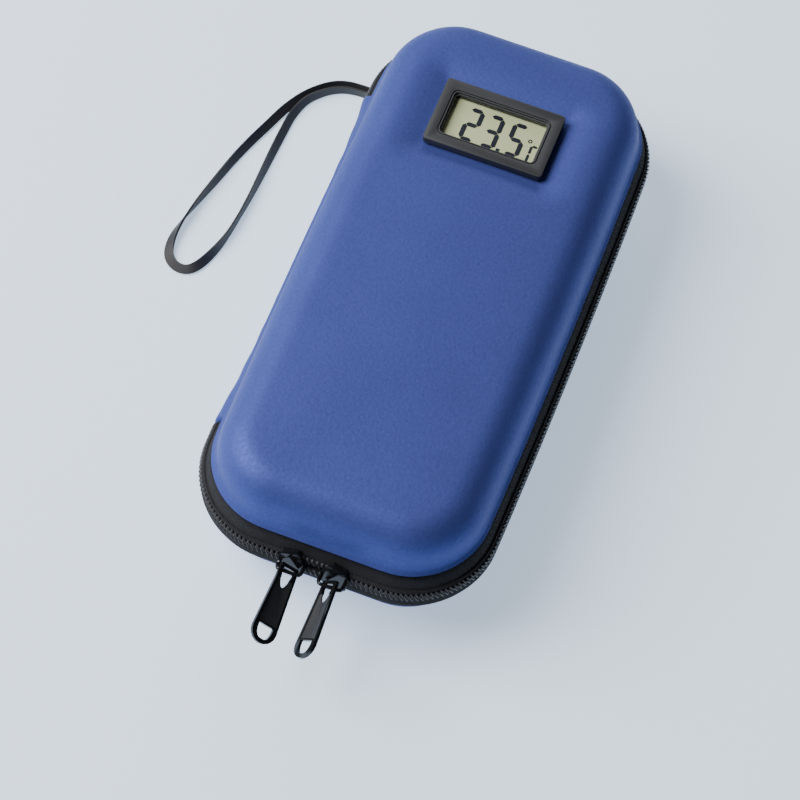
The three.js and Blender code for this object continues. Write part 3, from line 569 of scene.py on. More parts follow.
def metal_finish(colours):
    """Black nickel over cast zinc."""
    finish = Finish("black_nickel", colours.gunmetal, 0.16, 0.85)
    finish.shade(finish.noise(200, 2), 0.9, 1.2)
    finish.vary_roughness(finish.noise(300, 2), 0.13, 0.2)
    finish.bump(finish.noise(250, 1), 0.00002, 0.2)
    return finish.material


def matt_face_painted_light_finish(colours):
    """Matt sunk face of the pullers, a finish apart from the glossy rim; its grey is partly painted light, for the
    light that the flat face catches.
    """
    finish = Finish("puller_face_painted_light", colours.tag, 0.55, 0.0, Specular_IOR_Level=0.3)
    finish.shade(finish.noise(700, 4), 0.85, 1.25)
    finish.vary_roughness(finish.noise(1500, 3), 0.42, 0.58)
    finish.bump(finish.noise(3200, 3), 0.00004, 0.6)
    return finish.material


def moulded_finish(name, colour_value, roughness=0.5):
    """Moulded plastic with a spark-eroded grain."""
    finish = Finish(name, colour_value, roughness)
    finish.shade(finish.noise(300, 3), 0.9, 1.15)
    finish.vary_roughness(finish.noise(2200, 2), roughness - 0.06, roughness + 0.08)
    finish.bump(finish.noise(4200, 2), 0.00003, 0.6)
    return finish.material


def crystal_finish(colours):
    """Grey green liquid crystal."""
    finish = Finish("liquid_crystal", colours.crystal, 0.35)
    finish.shade(finish.noise(90, 2), 0.96, 1.04)
    return finish.material


def glass_finish():
    """Clear window over the display."""
    finish = Finish("window", (0.02, 0.02, 0.02), 0.05, Alpha=0.06, IOR=1.45)
    finish.bump(finish.noise(40), 0.00001, 0.1)
    return finish.material


def foil_finish(colours):
    """Crinkled foil lining."""
    finish = Finish("foil_lining", colours.foil, 0.34, 0.75)
    finish.vary_roughness(finish.noise(140, 4), 0.26, 0.44)
    finish.bump(finish.noise(170, 5), 0.0009, 0.5)
    finish.bump(finish.wave(420, "DIAGONAL"), 0.0002, 0.3)
    return finish.material


def foam_finish():
    """Closed-cell foam."""
    finish = Finish("foam", (0.16, 0.165, 0.17), 0.9)
    finish.shade(finish.noise(900, 3), 0.7, 1.3)
    finish.bump(finish.noise(1400, 2), 0.0003, 0.7)
    return finish.material


def gel_finish(colours):
    """Welded film over blue gel."""
    finish = Finish("gel_pack", colours.gel, 0.25, Coat_Weight=0.4, Coat_Roughness=0.15)
    finish.shade(finish.noise(50, 3), 0.85, 1.15)
    finish.bump(finish.noise(110, 4), 0.0008, 0.4)
    return finish.material


def steel_finish():
    """Brushed steel."""
    finish = Finish("steel", (0.55, 0.55, 0.56), 0.3, 0.95)
    finish.vary_roughness(finish.noise(900, 3, (1, 12, 1)), 0.22, 0.4)
    finish.bump(finish.noise(1600, 2, (1, 16, 1)), 0.00003, 0.4)
    return finish.material


def board_finish():
    """Solder resist over glass laminate."""
    finish = Finish("circuit_resist", (0.012, 0.075, 0.035), 0.4)
    finish.shade(finish.wave(900, "X"), 0.85, 1.2)
    finish.bump(finish.wave(900, "Y"), 0.00004, 0.4)
    return finish.material


def floor_finish():
    """Plain pale floor."""
    finish = Finish("pale_floor", (0.70, 0.80, 0.93), 0.9)
    finish.shader.inputs["Emission Color"].default_value = (0.66, 0.82, 1.0, 1)
    finish.shader.inputs["Emission Strength"].default_value = 0.85
    return finish.material


MADE = {}


def finishes():
    """Every material of the case by name, made once."""
    if not MADE:
        colours = bpy.context.scene.case_colours
        MADE.update(
            cover=cover_finish(colours),
            tape=woven_finish("tape_weave", colours.cloth, 0.0008),
            pad=woven_finish("pad_weave", (0.02, 0.02, 0.022), 0.0008),
            net=woven_finish("net_weave", (0.03, 0.03, 0.033), 0.0016),
            elastic=woven_finish("elastic_weave", (0.018, 0.018, 0.02), 0.001),
            webbing=webbing_finish(colours),
            nylon=nylon_finish(colours),
            metal=metal_finish(colours),
            tag=matt_face_painted_light_finish(colours),
            bezel=moulded_finish("bezel_plastic", colours.bezel, 0.48),
            crystal=crystal_finish(colours),
            ink=moulded_finish("segment_ink", (0.012, 0.016, 0.028), 0.4),
            glass=glass_finish(),
            foil=foil_finish(colours),
            foam=foam_finish(),
            gel=gel_finish(colours),
            steel=steel_finish(),
            board=board_finish(),
            rubber=moulded_finish("contact_rubber", (0.02, 0.02, 0.022), 0.65),
        )
    return MADE


# Operators


class CASE_OT_stage(bpy.types.Operator):
    """Camera, lights and pale floor."""

    bl_idname = "case.stage"
    bl_label = "Stage"

    def execute(self, context):
        data = bpy.data.cameras.new("Camera")
        data.sensor_width = 36
        data.lens = 146.94
        data.clip_end = 10
        camera = bpy.data.objects.new("Camera", data)
        context.collection.objects.link(camera)
        right = Vector((0.9351, 0.3495, 0.05864)).normalized()
        back = Vector((0.12254, -0.47415, 0.87187)).normalized()
        up = back.cross(right).normalized()
        right = up.cross(back)
        turn = Matrix((right, up, back)).transposed().to_4x4()
        camera.matrix_world = Matrix.Translation((0.12267, -0.49964, 0.88066)) @ turn
        context.scene.camera = camera

        deselect()
        bpy.ops.mesh.primitive_grid_add(x_subdivisions=4, y_subdivisions=4, size=6, location=(0, 0, 0))
        floor = apply_place(started("floor"))
        floor.data.materials.append(floor_finish())
        self.light("key", (-0.94, -0.16, 1.02), (1.0, 1.1), 36)
        self.light("back", (-0.4, 1.2, 0.7), (1.2, 0.5), 5)
        world = bpy.data.worlds.new("studio")
        world.use_nodes = True
        world.node_tree.nodes["Background"].inputs[0].default_value = (0.86, 0.92, 1.0, 1)
        world.node_tree.nodes["Background"].inputs[1].default_value = 0.04
        context.scene.world = world
        return {"FINISHED"}

    def light(self, name, place, size, power):
        deselect()
        bpy.ops.object.light_add(type="AREA", location=place)
        light = bpy.context.object
        light.name = name
        light.data.shape = "RECTANGLE"
        light.data.size, light.data.size_y = size
        light.data.energy = power
        aim = Vector((0, 0, 0.02)) - Vector(place)
        light.rotation_euler = aim.to_track_quat("-Z", "Y").to_euler()


class CASE_OT_strap(bpy.types.Operator):
    """Wrist strap of flat webbing and its tab."""

    bl_idname = "case.strap"
    bl_label = "Wrist strap"

    def execute(self, context):
        sizes = context.scene.case_sizes
        width, thickness = sizes.strap_width, sizes.strap_thickness
        points, leans = self.route(width, thickness)
        centre, tangents, lean_at = self.smooth(points, leans, 6)
        rings = []
        for point, tangent, lean in zip(centre, tangents, lean_at):
            level = Vector((-tangent.y, tangent.x, 0)).normalized()
            upright = tangent.cross(level)
            across = level * math.cos(lean) + upright * math.sin(lean)
            through = tangent.cross(across)
            outline = []
            for a, t in ((-1, 0), (-0.94, -1), (0, -1.0), (0.94, -1), (1, 0), (0.94, 1), (0, 1.0), (-0.94, 1)):
                outline.append(point + across * a * width / 2 + through * t * thickness / 2)
            rings.append(outline)
        strap = skin("wrist_strap_webbing", rings)
        self.unwrap(strap, centre, width)
        soften(strap, 60)
        total = sum((b - a).length for a, b in zip(centre, centre[1:]))
        finish_piece(strap, finishes()["webbing"], "base", "black_cloth", "wrist_strap")
        tuple(centre[0])
        [tuple(p) for p in centre]
        low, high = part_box("strap_tab")
        tab = block("strap_tab_cloth", high - low, (low + high) / 2, 0.0004, 3)
        finish_piece(tab, finishes()["tape"], "base", "black_cloth", "strap_tab")
        return {"FINISHED"}

    def route(self, width, thickness):
        tab_low, tab_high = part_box("strap_tab")
        exit_z = (tab_low.z + tab_high.z - width) / 2
        table_gap = 0.1 * MM
        points, leans = [], []
        for x, y, height, lean_share in STRAP_ROUTE:
            lean = lean_share * math.pi / 2
            middle = width / 2 * math.sin(lean) + thickness / 2 * abs(math.cos(lean))
            edge = table_gap + height * (exit_z - table_gap)
            points.append(Vector((x * MM, y * MM, edge + middle)))
            leans.append(lean)
        return points, leans

    def smooth(self, points, leans, steps):
        """A Catmull-Rom line through the route, with its tangents and leans."""
        centre, lean_at = [], []
        for k in range(len(points) - 1):
            p0 = points[k - 1] if k else points[0] * 2 - points[1]
            p3 = points[k + 2] if k + 2 < len(points) else points[-1] * 2 - points[-2]
            p1, p2 = points[k], points[k + 1]
            for step in range(steps):
                t = step / steps
                centre.append(0.5 * (
                    2 * p1 + (p2 - p0) * t + (2 * p0 - 5 * p1 + 4 * p2 - p3) * t**2
                    + (3 * p1 - p0 - 3 * p2 + p3) * t**3
                ))
                lean_at.append(leans[k] + (leans[k + 1] - leans[k]) * t)
        centre.append(points[-1].copy())
        lean_at.append(leans[-1])
        tangents = [
            (centre[min(k + 1, len(centre) - 1)] - centre[max(k - 1, 0)]).normalized()
            for k in range(len(centre))
        ]
        return centre, tangents, lean_at

    def unwrap(self, strap, centre, width):
        """U along the webbing in metres over its width, V across it."""
        layer = strap.data.uv_layers.new(name="UVMap")
        line = np.array([tuple(p) for p in centre])
        run = np.concatenate([[0], np.cumsum(np.linalg.norm(np.diff(line, axis=0), axis=1))])
        corners = np.array([tuple(strap.data.vertices[loop.vertex_index].co) for loop in strap.data.loops])
        for k, corner in enumerate(corners):
            near = int(np.argmin(np.linalg.norm(line - corner, axis=1)))
            layer.data[k].uv = (run[near], np.linalg.norm(line[near] - corner) / width * 2)


def dent(sizes, frame_box, x, y):
    """How far the lid is pressed in round the display's frame."""
    low, high = frame_box
    outside = math.hypot(max(low.x - x, x - high.x, 0), max(low.y - y, y - high.y, 0))
    share = min(outside / sizes.dent_reach, 1)
    return (1 - share) ** 2 * (1 + share / 2) * sizes.dent_depth


def half_rings(sizes, loop, side, skin_sizes, steps, crown=(), flare=0.0):
    """Rings of one skin of a half, from its rim, where it may flare out, to its crown."""
    inset, top, radius = skin_sizes
    draft = 0.6 * MM
    rings = []

    def ring(depth, height):
        rings.append([inset_point(row, depth, PARTING_Z + side * height) for row in loop])

    for share in (0, 0.25, 0.5, 0.75):
        height = sizes.rim_rise + (top - radius - sizes.rim_rise) * share
        ring(inset + draft * share - flare * (1 - share) ** 3, height)
    for k in range(steps + 1):
        a = k * math.pi / 2 / steps
        ring(inset + draft + radius * (1 - math.cos(a)), top - radius * (1 - math.sin(a)))
    edge = rings[-1]
    ratio = sizes.case_width / sizes.case_length
    for share in crown:
        rise = sizes.crown_rise * (1 - (1 - share) ** 2)
        rings.append([
            Vector((p.x * (1 - share), p.y * (1 - share * ratio), p.z + side * rise)) for p in edge
        ])
    return rings


def half_layer(sizes, name, side, outer, thickness, crown=(), flare=0.0):
    """One moulded layer of a half: inner skin, rolled rim and outer skin.

    One with a crown stays open inside, so that it can be subdivided before its end is filled.
    """
    long, short = 56, 12
    loop = outline_loop(sizes, sizes.corner_steps, long, short)
    inset, top, radius = outer
    inner = (inset + thickness, top - thickness, radius - thickness)
    outside = half_rings(sizes, loop, side, outer, 8, crown, flare)
    inside = half_rings(sizes, loop, side, inner, 6)
    roll = 0.25 * thickness
    rim = [
        [inset_point(row, inset + across, PARTING_Z + side * sizes.rim_rise) for row in loop]
        for across in (thickness - roll, roll - flare)
    ]
    for ring in (outside, inside):
        ring[0] = [p + Vector((0, 0, side * roll)) for p in ring[0]]
    ridge = long // 2 + sizes.corner_steps + short // 2 if crown else None
    return skin(name, inside[::-1] + rim + outside, ends=not crown, ridge=ridge)


class CASE_OT_shells(bpy.types.Operator):
    """The two moulded half shells, with the lid pressed in round the display."""

    bl_idname = "case.shells"
    bl_label = "Shells"

    def execute(self, context):
        sizes = context.scene.case_sizes
        crown = [k / 14 for k in range(1, 14)] + [0.97]
        lid = half_layer(
            sizes, "lid_cover", 1, (sizes.rim_inset, sizes.lid_top, sizes.shoulder_radius), 3 * MM, crown,
            sizes.rim_flare,
        )
        fill_ends(subdivide(lid))
        frame_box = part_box("display_frame")
        for vertex in lid.data.vertices:
            if vertex.co.z > PARTING_Z + sizes.lid_top - 1.5 * MM:
                vertex.co.z -= dent(sizes, frame_box, vertex.co.x, vertex.co.y)
        low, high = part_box("display_back")
        hole = block(
            "hole", (high.x - low.x + 0.6 * MM, high.y - low.y + 0.6 * MM, 0.03),
            ((low.x + high.x) / 2, (low.y + high.y) / 2, 0.047),
        )
        cut(lid, hole, "FAST")
        soften(lid, 50)
        finish_piece(lid, finishes()["cover"], "lid", "blue_cover", "lid_shell")
        base = half_layer(
            sizes, "base_cover", -1, (sizes.rim_inset, 0.025, sizes.shoulder_radius), 3 * MM,
            flare=sizes.rim_flare,
        )
        round_edges(base, 0.3 * MM, 2, 60)
        soften(base, 50)
        finish_piece(base, finishes()["cover"], "base", "blue_cover", "base_shell")
        return {"FINISHED"}


class CASE_OT_lining(bpy.types.Operator):
    """Foam and foil inside each half."""

    bl_idname = "case.lining"
    bl_label = "Foam and lining"

    def execute(self, context):
        sizes = context.scene.case_sizes
        for side, prefix, top in ((-1, "base", 0.025), (1, "lid", sizes.lid_top)):
            step = 3.3 * MM
            foam = (sizes.rim_inset + step, top - step, sizes.shoulder_radius - step)
            lining = tuple(v + s * step for v, s in zip(foam, (1, -1, -1)))
            for kind, outer, thickness in (("foam", foam, 3 * MM), ("foil", lining, 0.8 * MM)):
                piece = half_layer(sizes, f"{prefix}_{kind}_layer", side, outer, thickness)
                if side > 0:
                    low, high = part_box("display_back")
                    cut(piece, block(
                        "hole", (high.x - low.x + 8.2 * MM, high.y - low.y + 0.6 * MM, 0.03),
                        ((low.x + high.x) / 2, (low.y + high.y) / 2, 0.045),
                    ))
                soften(piece, 50)
                node = f"{prefix}_{'foam' if kind == 'foam' else 'lining'}"
                slot = "grey_foam" if kind == "foam" else "silver_foil"
                finish_piece(piece, finishes()[kind], prefix, slot, node)
        return {"FINISHED"}


def spread_at(station):
    """How far each row stands off the middle line near the sliders."""
    x, _, _, ny = station
    if ny > -math.cos(math.radians(15)):
        return 0.0
    left, right = -7.6 * MM, 5.3 * MM
    middle = (left + right) / 2
    opened = (right - left) / 2 - 1.0 * MM
    shut = (right - left) / 2 + 4.0 * MM
    share = min(max((abs(x - middle) - opened) / (shut - opened), 0), 1)
    return 1.4 * MM * (1 - share * share * (3 - 2 * share))


class CASE_OT_zip(bpy.types.Operator):
    """Two rows of teeth and their tapes."""

    bl_idname = "case.zip"
    bl_label = "Zip"

    def execute(self, context):
        sizes = context.scene.case_sizes
        path = ZipPath(sizes)
        start = 63.3 * MM
        end = path.length - 63.3 * MM
        for side, body in ((1, "lid"), (-1, "base")):
            teeth = self.row(path, sizes, start, end, side)
            finish_piece(teeth, finishes()["nylon"], body, "black_nylon", f"{body}_zip_coil")
            tape = self.tape(path, sizes, start, end, side)
            finish_piece(tape, finishes()["tape"], body, "black_cloth", f"{body}_zip_tape")
        return {"FINISHED"}

    def tooth(self, sizes):
        """One tooth: a rounded bar with a swollen head."""
        deselect()
        bpy.ops.mesh.primitive_cylinder_add(vertices=8, radius=0.5, depth=1, rotation=(math.pi / 2, 0, 0))
        obj = apply_place(started("tooth"))
        bpy.ops.object.mode_set(mode="EDIT")
        bpy.ops.mesh.select_all(action="DESELECT")
        mesh = bmesh.from_edit_mesh(obj.data)
        for face in mesh.faces:
            face.select = face.normal.y < -0.9
        bmesh.update_edit_mesh(obj.data)
        bpy.ops.mesh.extrude_region_move(TRANSFORM_OT_translate={"value": (0, -0.08, 0)})
        bpy.ops.transform.resize(value=(0.55, 1, 0.55))
        bpy.ops.object.mode_set(mode="OBJECT")
        return obj

    def row(self, path, sizes, start, end, side):
        tooth = self.tooth(sizes)
        pattern = np.array([tuple(v.co) for v in tooth.data.vertices])
        faces = [tuple(p.vertices) for p in tooth.data.polygons]
        bpy.data.objects.remove(tooth)
        count = int((end - start) / sizes.tooth_pitch)
        vertices, polygons = [], []
        wide = sizes.tooth_pitch * 0.42
        for k in range(count):
            distance = start + (k + (0.25 if side > 0 else 0.75)) * sizes.tooth_pitch
            station = path.at(distance)
            spread = spread_at(station)
            tip, root = side * (spread - 0.3 * MM), side * (spread + 1.4 * MM)
            along = Vector((-station[3], station[2], 0))
            inner = path.chain(station, -0.55 * MM, tip)
            outer = path.chain(station, -0.55 * MM, root)
            out = (path.chain(station, 0, tip) - inner).normalized()
            across = inner - outer
            offset = len(vertices)
            slant = along * (side * 0.95 * MM)
            for u, v, w in pattern:
                place = outer + across * (0.5 - v) + along * (u * wide) + out * (w * 1.1 * MM)
                vertices.append(place + slant * (0.5 - v))
            polygons += [tuple(offset + i for i in face) for face in faces]
        mesh = bpy.data.meshes.new("teeth")
        mesh.from_pydata(vertices, [], polygons)
        name = "lid_teeth" if side > 0 else "base_teeth"
        obj = bpy.data.objects.new(name, mesh)
        bpy.context.collection.objects.link(obj)
        mesh.name = name
        return soften(outward(obj), 50)

    def tape(self, path, sizes, start, end, side):
        """Cloth from behind the teeth up to the rim and under it."""
        cos, sin = math.cos(path.tilt), math.sin(path.tilt)
        back = -(1.3 + 0.3 + 0.25) * MM

        def in_plane(across):
            return path.setback - back * cos + across * side * sin, back * sin + across * side * cos

        def proud(across, out):
            inset, height = in_plane(across)
            return inset - out * cos, height + out * sin

        seam = side * (sizes.rim_rise - 0.55 * MM)
        rise = (1.3 if side > 0 else 0.3) * MM
        if side > 0:
            flat_part = [proud(3.4 * MM, 0.2 * rise), in_plane(5.5 * MM)]
        else:
            flat_part = [(1.5 * MM, -3.5 * MM), (1.0 * MM, -4.9 * MM), (1.4 * MM, -6.1 * MM), (2.8 * MM, -6.5 * MM)]
        line = [
            in_plane(0.5 * MM), in_plane(1.1 * MM), proud(1.3 * MM, 0.8 * rise), proud(1.75 * MM, rise),
            proud(2.2 * MM, 0.8 * rise), proud(2.35 * MM, 0.4 * rise), *flat_part,
            (sizes.rim_inset - 0.2 * MM, seam - side * 0.5 * MM), (sizes.rim_inset + 0.9 * MM, seam),
            (sizes.rim_inset + 2.4 * MM, seam),
        ]
        half = 0.25 * MM
        flat = []
        for k, point in enumerate(line):
            before, after = line[max(k - 1, 0)], line[min(k + 1, len(line) - 1)]
            along = Vector((after[0] - before[0], after[1] - before[1])).normalized()
            flat.append((point, Vector((-along.y, along.x)) * half))
        profile = [(p[0] + n.x, p[1] + n.y) for p, n in flat] + [(p[0] - n.x, p[1] - n.y) for p, n in flat[::-1]]
        stations = [path.at(start + (end - start) * k / 220) for k in range(221)]
        rings = [[inset_point(s, inset, PARTING_Z + z) for inset, z in profile] for s in stations]
        name = "lid_tape" if side > 0 else "base_tape"
        return soften(skin(name, rings), 50)


class CASE_OT_hinge(bpy.types.Operator):
    """Blue strip between the ends of the zip."""

    bl_idname = "case.hinge"
    bl_label = "Cloth hinge"

    def execute(self, context):
        sizes = context.scene.case_sizes
        path = ZipPath(sizes)
        half = 63.3 * MM
        seam = sizes.rim_rise - 0.8 * MM
        rings = []
        for k in range(81):
            along = 2 * k / 80 - 1
            station = path.at(path.length + along * half)
            depth = 3.1 * MM - 2.2 * MM * along**4 + 0.12 * MM * math.sin(along * 31)
            line = [
                (sizes.rim_inset + 2.6 * MM, -seam), (sizes.rim_inset + 0.6 * MM, -seam + 0.1 * MM),
                (depth + 0.5 * MM, -seam * 0.6), (depth, -seam * 0.2), (depth, seam * 0.2),
                (depth + 0.5 * MM, seam * 0.6), (sizes.rim_inset + 0.6 * MM, seam - 0.1 * MM),
                (sizes.rim_inset + 2.6 * MM, seam),
            ]
            profile = []
            for sign, order in ((1, range(len(line))), (-1, reversed(range(len(line))))):
                for j in order:
                    before, after = line[max(j - 1, 0)], line[min(j + 1, len(line) - 1)]
                    run = Vector((after[0] - before[0], after[1] - before[1])).normalized()
                    profile.append((line[j][0] - run.y * sign * 0.45 * MM, line[j][1] + run.x * sign * 0.45 * MM))
            rings.append([inset_point(station, inset, PARTING_Z + z) for inset, z in profile])
        strip = soften(subdivide(skin("hinge_cloth", rings)), 60)
        finish_piece(strip, finishes()["cover"], None, "blue_cover", "hinge_strip")
        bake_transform(strip)
        return {"FINISHED"}


class CASE_OT_sliders(bpy.types.Operator):
    """Sliders with their crowns, and the two pullers."""

    bl_idname = "case.sliders"
    bl_label = "Sliders and pullers"

    def execute(self, context):
        for side in ("left", "right"):
            slider = soften(copy_node(f"{side}_slider_body", f"{side}_slider", 0), 62)
            finish_piece(slider, finishes()["metal"], f"{side}_slider", "black_metal", f"{side}_slider")
            self.puller(side)
        return {"FINISHED"}

    def puller(self, side):
        """The tag, with a sunk face inside a raised rim on both sides; the face's own grey finish is partly painted
        light.
        """
        tag = copy_node(f"{side}_puller_tag", f"{side}_puller", 0)
        facing = max(tag.data.polygons, key=lambda p: p.area).normal.copy()
        pivot = Vector(next(
            joint["pos_m"] for joint in frame["record"]["behaviour"]["joints"]
            if joint["name"] == f"{side}_puller_hinge"
        ))
        middle = sum((v.co for v in tag.data.vertices), Vector()) / len(tag.data.vertices)
        along = middle - pivot
        along = (along - facing * along.dot(facing)).normalized()
        across = facing.cross(along)
        levels = [(v.co - pivot).dot(facing) for v in tag.data.vertices]
        sunk = 0.28 * MM
        # the sunk face: from beside the upper window to the straight edge of the lower one
        corners = [(-2.45 * MM, 2.4 * MM), (2.45 * MM, 2.4 * MM), (3.25 * MM, 16.8 * MM), (-3.25 * MM, 16.8 * MM)]
        for level, out in ((max(levels) - sunk, 1), (min(levels) + sunk, -1)):
            deselect()
            bpy.ops.mesh.primitive_circle_add(vertices=4, radius=MM, fill_type="NGON")
            sinker = started("sinker")
            for vertex, (u, v) in zip(sinker.data.vertices, corners):
                vertex.co = pivot + across * u + along * v + facing * level
            bpy.ops.object.mode_set(mode="EDIT")
            bpy.ops.mesh.select_all(action="SELECT")
            bpy.ops.mesh.extrude_region_move(TRANSFORM_OT_translate={"value": facing * out * MM})
            bpy.ops.object.mode_set(mode="OBJECT")
            cut(tag, outward(sinker))
        round_edges(tag, 0.13 * MM, 2, 30)
        soften(tag, 35)
        finish_piece(tag, finishes()["metal"], f"{side}_puller", "black_metal", f"{side}_puller")
        # The sunk faces take the second material, a matt grey that is partly painted light, for the light the flat
        # faces catch.
        tag.data.materials.append(finishes()["tag"])
        for polygon in tag.data.polygons:
            flat = abs(polygon.normal.dot(facing)) > 0.98
            level = (polygon.center - pivot).dot(facing)
            polygon.material_index = int(flat and min(levels) + sunk / 2 < level < max(levels) - sunk / 2)


class CASE_OT_display(bpy.types.Operator):
    """Thermometer: bezel, window, liquid crystal with its digits, and what is behind."""

    bl_idname = "case.display"
    bl_label = "Thermometer"

    def execute(self, context):
        self.bezel()
        self.crystal()
        made = finishes()
        dress("display_lens", made["glass"])
        dress("lcd_panel", made["crystal"])
        dress("circuit_board", made["board"])
        for node in ("contact_strip_upper", "contact_strip_lower"):
            dress(node, made["rubber"])
        for node in ("button_cell_left", "button_cell_right", "battery_spring", "panel_clip_left",
                     "panel_clip_right"):
            dress(node, made["steel"])
        back = copy_node("display_back_case", "display_back", 0.3 * MM)
        finish_piece(back, made["bezel"], "lid", "black_plastic", "display_back")
        cover = copy_node("battery_door", "battery_cover", 0.2 * MM)
        finish_piece(cover, made["bezel"], "battery_cover", "black_plastic", "battery_cover")
        return {"FINISHED"}

    def bezel(self):
        """Front with a chamfered edge and a stepped window, on the body that drops into the lid."""
        low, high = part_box("display_frame")
        x, y = (low.x + high.x) / 2, (low.y + high.y) / 2
        wide, tall = high.x - low.x, high.y - low.y
        foot = high.z - 2.6 * MM
        front = rounded_plate("display_bezel", wide, tall, 1.1 * MM, foot, high.z, (x, y), 4)
        pick(front)
        bpy.ops.object.mode_set(mode="EDIT")
        bpy.ops.mesh.select_all(action="DESELECT")
        mesh = bmesh.from_edit_mesh(front.data)
        for edge in mesh.edges:
            edge.select = all(v.co.z > high.z - 0.01 * MM for v in edge.verts)
        bmesh.update_edit_mesh(front.data)
        bpy.ops.mesh.bevel(offset=0.75 * MM, segments=1, affect="EDGES")
        bpy.ops.object.mode_set(mode="OBJECT")
        for name, width, span, radius, drop in (
            ("groove", 32.3, 17.4, 2.1, 0.5), ("step", 30.9, 16.1, 1.5, 0.8), ("hole", 29.8, 15.2, 1.0, 4.0),
        ):
            cut(front, rounded_plate(
                name, width * MM, span * MM, radius * MM, high.z - drop * MM, high.z + MM, (x, y), 8
            ))
        ring = rounded_plate("ring", 31.7 * MM, 16.8 * MM, 1.8 * MM, high.z - 0.6 * MM, high.z - 0.12 * MM, (x, y), 8)
        cut(ring, rounded_plate("bore", 30.9 * MM, 16.0 * MM, 1.5 * MM, high.z - MM, high.z + MM, (x, y), 8))
        for piece in (front, ring):
            round_edges(piece, 0.1 * MM, 2, 25)
        body_low, body_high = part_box("display_back")
        body_wide, body_tall = body_high.x - body_low.x, body_high.y - body_low.y
        top = foot + 0.1 * MM
        skirt = block("skirt", (body_wide, body_tall, top - low.z), (x, y, (top + low.z) / 2), 0.3 * MM)
        wall = 1.2 * MM
        cut(skirt, block("hollow", (body_wide - 2 * wall, body_tall - 2 * wall, 0.03), (x, y, 0.045)))
        bezel = soften(joined("display_bezel", [front, ring, skirt]), 35)
        finish_piece(bezel, finishes()["bezel"], "lid", "black_plastic", "display_frame")

    def crystal(self):
        """Digits of a seven-segment display, 23.5, and the degree sign with its C."""
        low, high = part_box("lcd_panel")
        z = high.z + 0.03 * MM
        x0, y0 = (low.x + high.x) / 2, (low.y + high.y) / 2
        parts = []
        shapes = {"2": "abged", "3": "abgcd", "5": "afgcd", "C": "afed"}
        for sign, x, y, wide, tall, bar in (
            ("2", -7.15, -0.3, 3.8, 11.2, 1.5), ("3", -0.45, -0.3, 3.8, 11.2, 1.5),
            ("5", 7.35, -0.3, 3.8, 11.2, 1.5), ("C", 13.6, -3.6, 1.9, 6.2, 0.85),
        ):
            for segment in shapes[sign]:
                parts.append(self.segment(segment, x0 + x * MM, y0 + y * MM, wide * MM, tall * MM, bar * MM, z))
        deselect()
        place = (x0 + 11.6 * MM, y0 + 1.0 * MM, z)
        bpy.ops.mesh.primitive_cylinder_add(vertices=20, radius=0.7 * MM, depth=0.05 * MM, location=place)
        ring = apply_place(started("degree"))
        deselect()
        bpy.ops.mesh.primitive_cylinder_add(vertices=20, radius=0.34 * MM, depth=0.2 * MM, location=place)
        cut(ring, apply_place(started("bore")))
        parts.append(ring)
        parts.append(block("point", (1.2 * MM, 1.2 * MM, 0.05 * MM), (x0 + 3.3 * MM, y0 - 5.9 * MM, z)))
        digits = joined("display_digits", parts)
        finish_piece(digits, finishes()["ink"], "lid", "lcd")

    def segment(self, key, x, y, wide, tall, bar, z):
        """One bar with pointed ends."""
        half = tall / 2
        place = {"a": (0, half), "g": (0, 0), "d": (0, -half), "b": (wide / 2, half / 2), "c": (wide / 2, -half / 2),
                 "f": (-wide / 2, half / 2), "e": (-wide / 2, -half / 2)}[key]
        level = key in "agd"
        reach = ((wide if level else half) - 0.12 * bar) / 2
        shoulder = reach - bar / 2
        corners = [(reach, 0), (shoulder, bar / 2), (-shoulder, bar / 2), (-reach, 0), (-shoulder, -bar / 2),
                   (shoulder, -bar / 2)]
        deselect()
        bpy.ops.mesh.primitive_circle_add(vertices=6, radius=bar, fill_type="NGON")
        obj = started("segment")
        for vertex, (u, v) in zip(obj.data.vertices, corners):
            across, up = (u, v) if level else (-v, u)
            vertex.co = Vector((x + place[0] + across, y + place[1] + up, z))
        bpy.ops.object.mode_set(mode="EDIT")
        bpy.ops.mesh.select_all(action="SELECT")
        bpy.ops.mesh.extrude_region_move(TRANSFORM_OT_translate={"value": (0, 0, 0.04 * MM)})
        bpy.ops.object.mode_set(mode="OBJECT")
        return outward(obj)


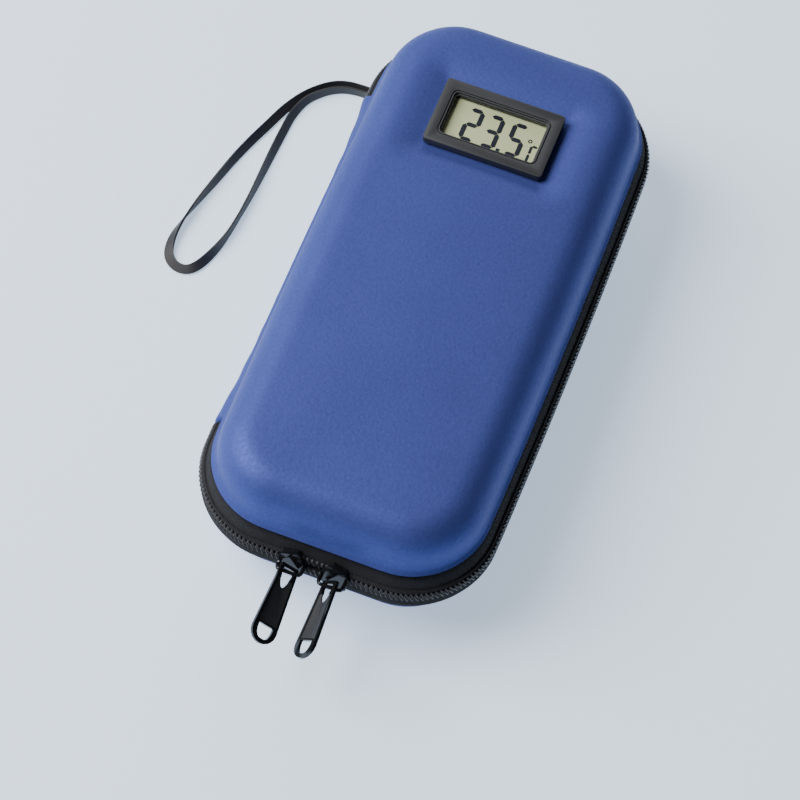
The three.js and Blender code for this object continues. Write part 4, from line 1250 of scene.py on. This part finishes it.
class CASE_OT_inside(bpy.types.Operator):
    """Ice packs, pen board, loops and net."""

    bl_idname = "case.inside"
    bl_label = "Inside"

    def execute(self, context):
        made = finishes()
        self.pack("base_gel_pack", "base_ice_pack", "base")
        self.pack("lid_gel_pack", "lid_ice_pack", "lid")
        low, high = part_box("pen_board")
        pad = rounded_plate(
            "pen_pad", high.x - low.x, high.y - low.y, 8 * MM, low.z, high.z,
            ((low.x + high.x) / 2, (low.y + high.y) / 2), 8,
        )
        round_edges(pad, 0.8 * MM, 3)
        soften(pad, 60)
        finish_piece(pad, made["pad"], "base", "black_cloth", "pen_board")
        for row in ("lower", "upper"):
            band = copy_node(f"elastic_{row}", f"pen_loops_{row}", 0.25 * MM, 2, 50)
            finish_piece(band, made["elastic"], "base", "black_cloth", f"pen_loops_{row}")
        net = copy_node("net_cloth", "net_pocket", 0.15 * MM, 1, 50)
        finish_piece(net, made["net"], "lid", "black_cloth", "net_pocket")
        hem = copy_node("net_hem", "net_binding", 0.4 * MM, 3)
        finish_piece(hem, made["elastic"], "lid", "black_cloth", "net_binding")
        return {"FINISHED"}

    def pack(self, name, node, body):
        """A pillow with a flat welded edge, crowned between its welds."""
        low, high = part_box(node)
        centre = (low + high) / 2
        wide, span, tall = high - low
        deselect()
        bpy.ops.mesh.primitive_cube_add(size=1, location=centre, scale=(wide, span, tall))
        obj = apply_place(started(name))
        bpy.ops.object.mode_set(mode="EDIT")
        bpy.ops.mesh.select_all(action="SELECT")
        bpy.ops.mesh.subdivide(number_cuts=11)
        bpy.ops.object.mode_set(mode="OBJECT")
        for vertex in obj.data.vertices:
            u = (vertex.co.x - centre.x) / (wide / 2)
            v = (vertex.co.y - centre.y) / (span / 2)
            edge = max(min((1 - abs(u)) * wide, (1 - abs(v)) * span) / 2, 0)
            swell = 0.12 + 0.88 * min(edge / (6 * MM), 1) ** 0.5
            vertex.co.z = centre.z + (vertex.co.z - centre.z) * swell * 0.97
        subdivide(obj, 1)
        soften(obj, 60)
        finish_piece(obj, finishes()["gel"], body, "blue_gel", node)


class CASE_PT_panel(bpy.types.Panel):
    """Sizes, colours and one button for each piece."""

    bl_idname = "CASE_PT_panel"
    bl_label = "Insulin Cooling Case"
    bl_space_type = "VIEW_3D"
    bl_region_type = "UI"
    bl_category = "Case"

    def draw(self, context):
        layout = self.layout
        for group in (context.scene.case_sizes, context.scene.case_colours):
            for key in group.__annotations__:
                layout.prop(group, key)
        for operator in PIECES:
            layout.operator(operator.bl_idname)


PIECES = (
    CASE_OT_stage, CASE_OT_strap, CASE_OT_shells, CASE_OT_hinge, CASE_OT_zip, CASE_OT_sliders, CASE_OT_display,
    CASE_OT_lining, CASE_OT_inside,
)
CLASSES = (CaseSizes, CaseColours, *PIECES, CASE_PT_panel)


def register():
    for cls in CLASSES:
        bpy.utils.register_class(cls)
    bpy.types.Scene.case_sizes = PointerProperty(type=CaseSizes)
    bpy.types.Scene.case_colours = PointerProperty(type=CaseColours)


def unregister():
    del bpy.types.Scene.case_colours
    del bpy.types.Scene.case_sizes
    for cls in reversed(CLASSES):
        bpy.utils.unregister_class(cls)


def main():
    """Builds every piece in order."""
    register()
    bpy.ops.case.stage()
    bpy.ops.case.strap()
    bpy.ops.case.shells()
    bpy.ops.case.hinge()
    bpy.ops.case.zip()
    bpy.ops.case.sliders()
    bpy.ops.case.display()
    bpy.ops.case.lining()
    bpy.ops.case.inside()


if __name__ == "__main__":
    main()
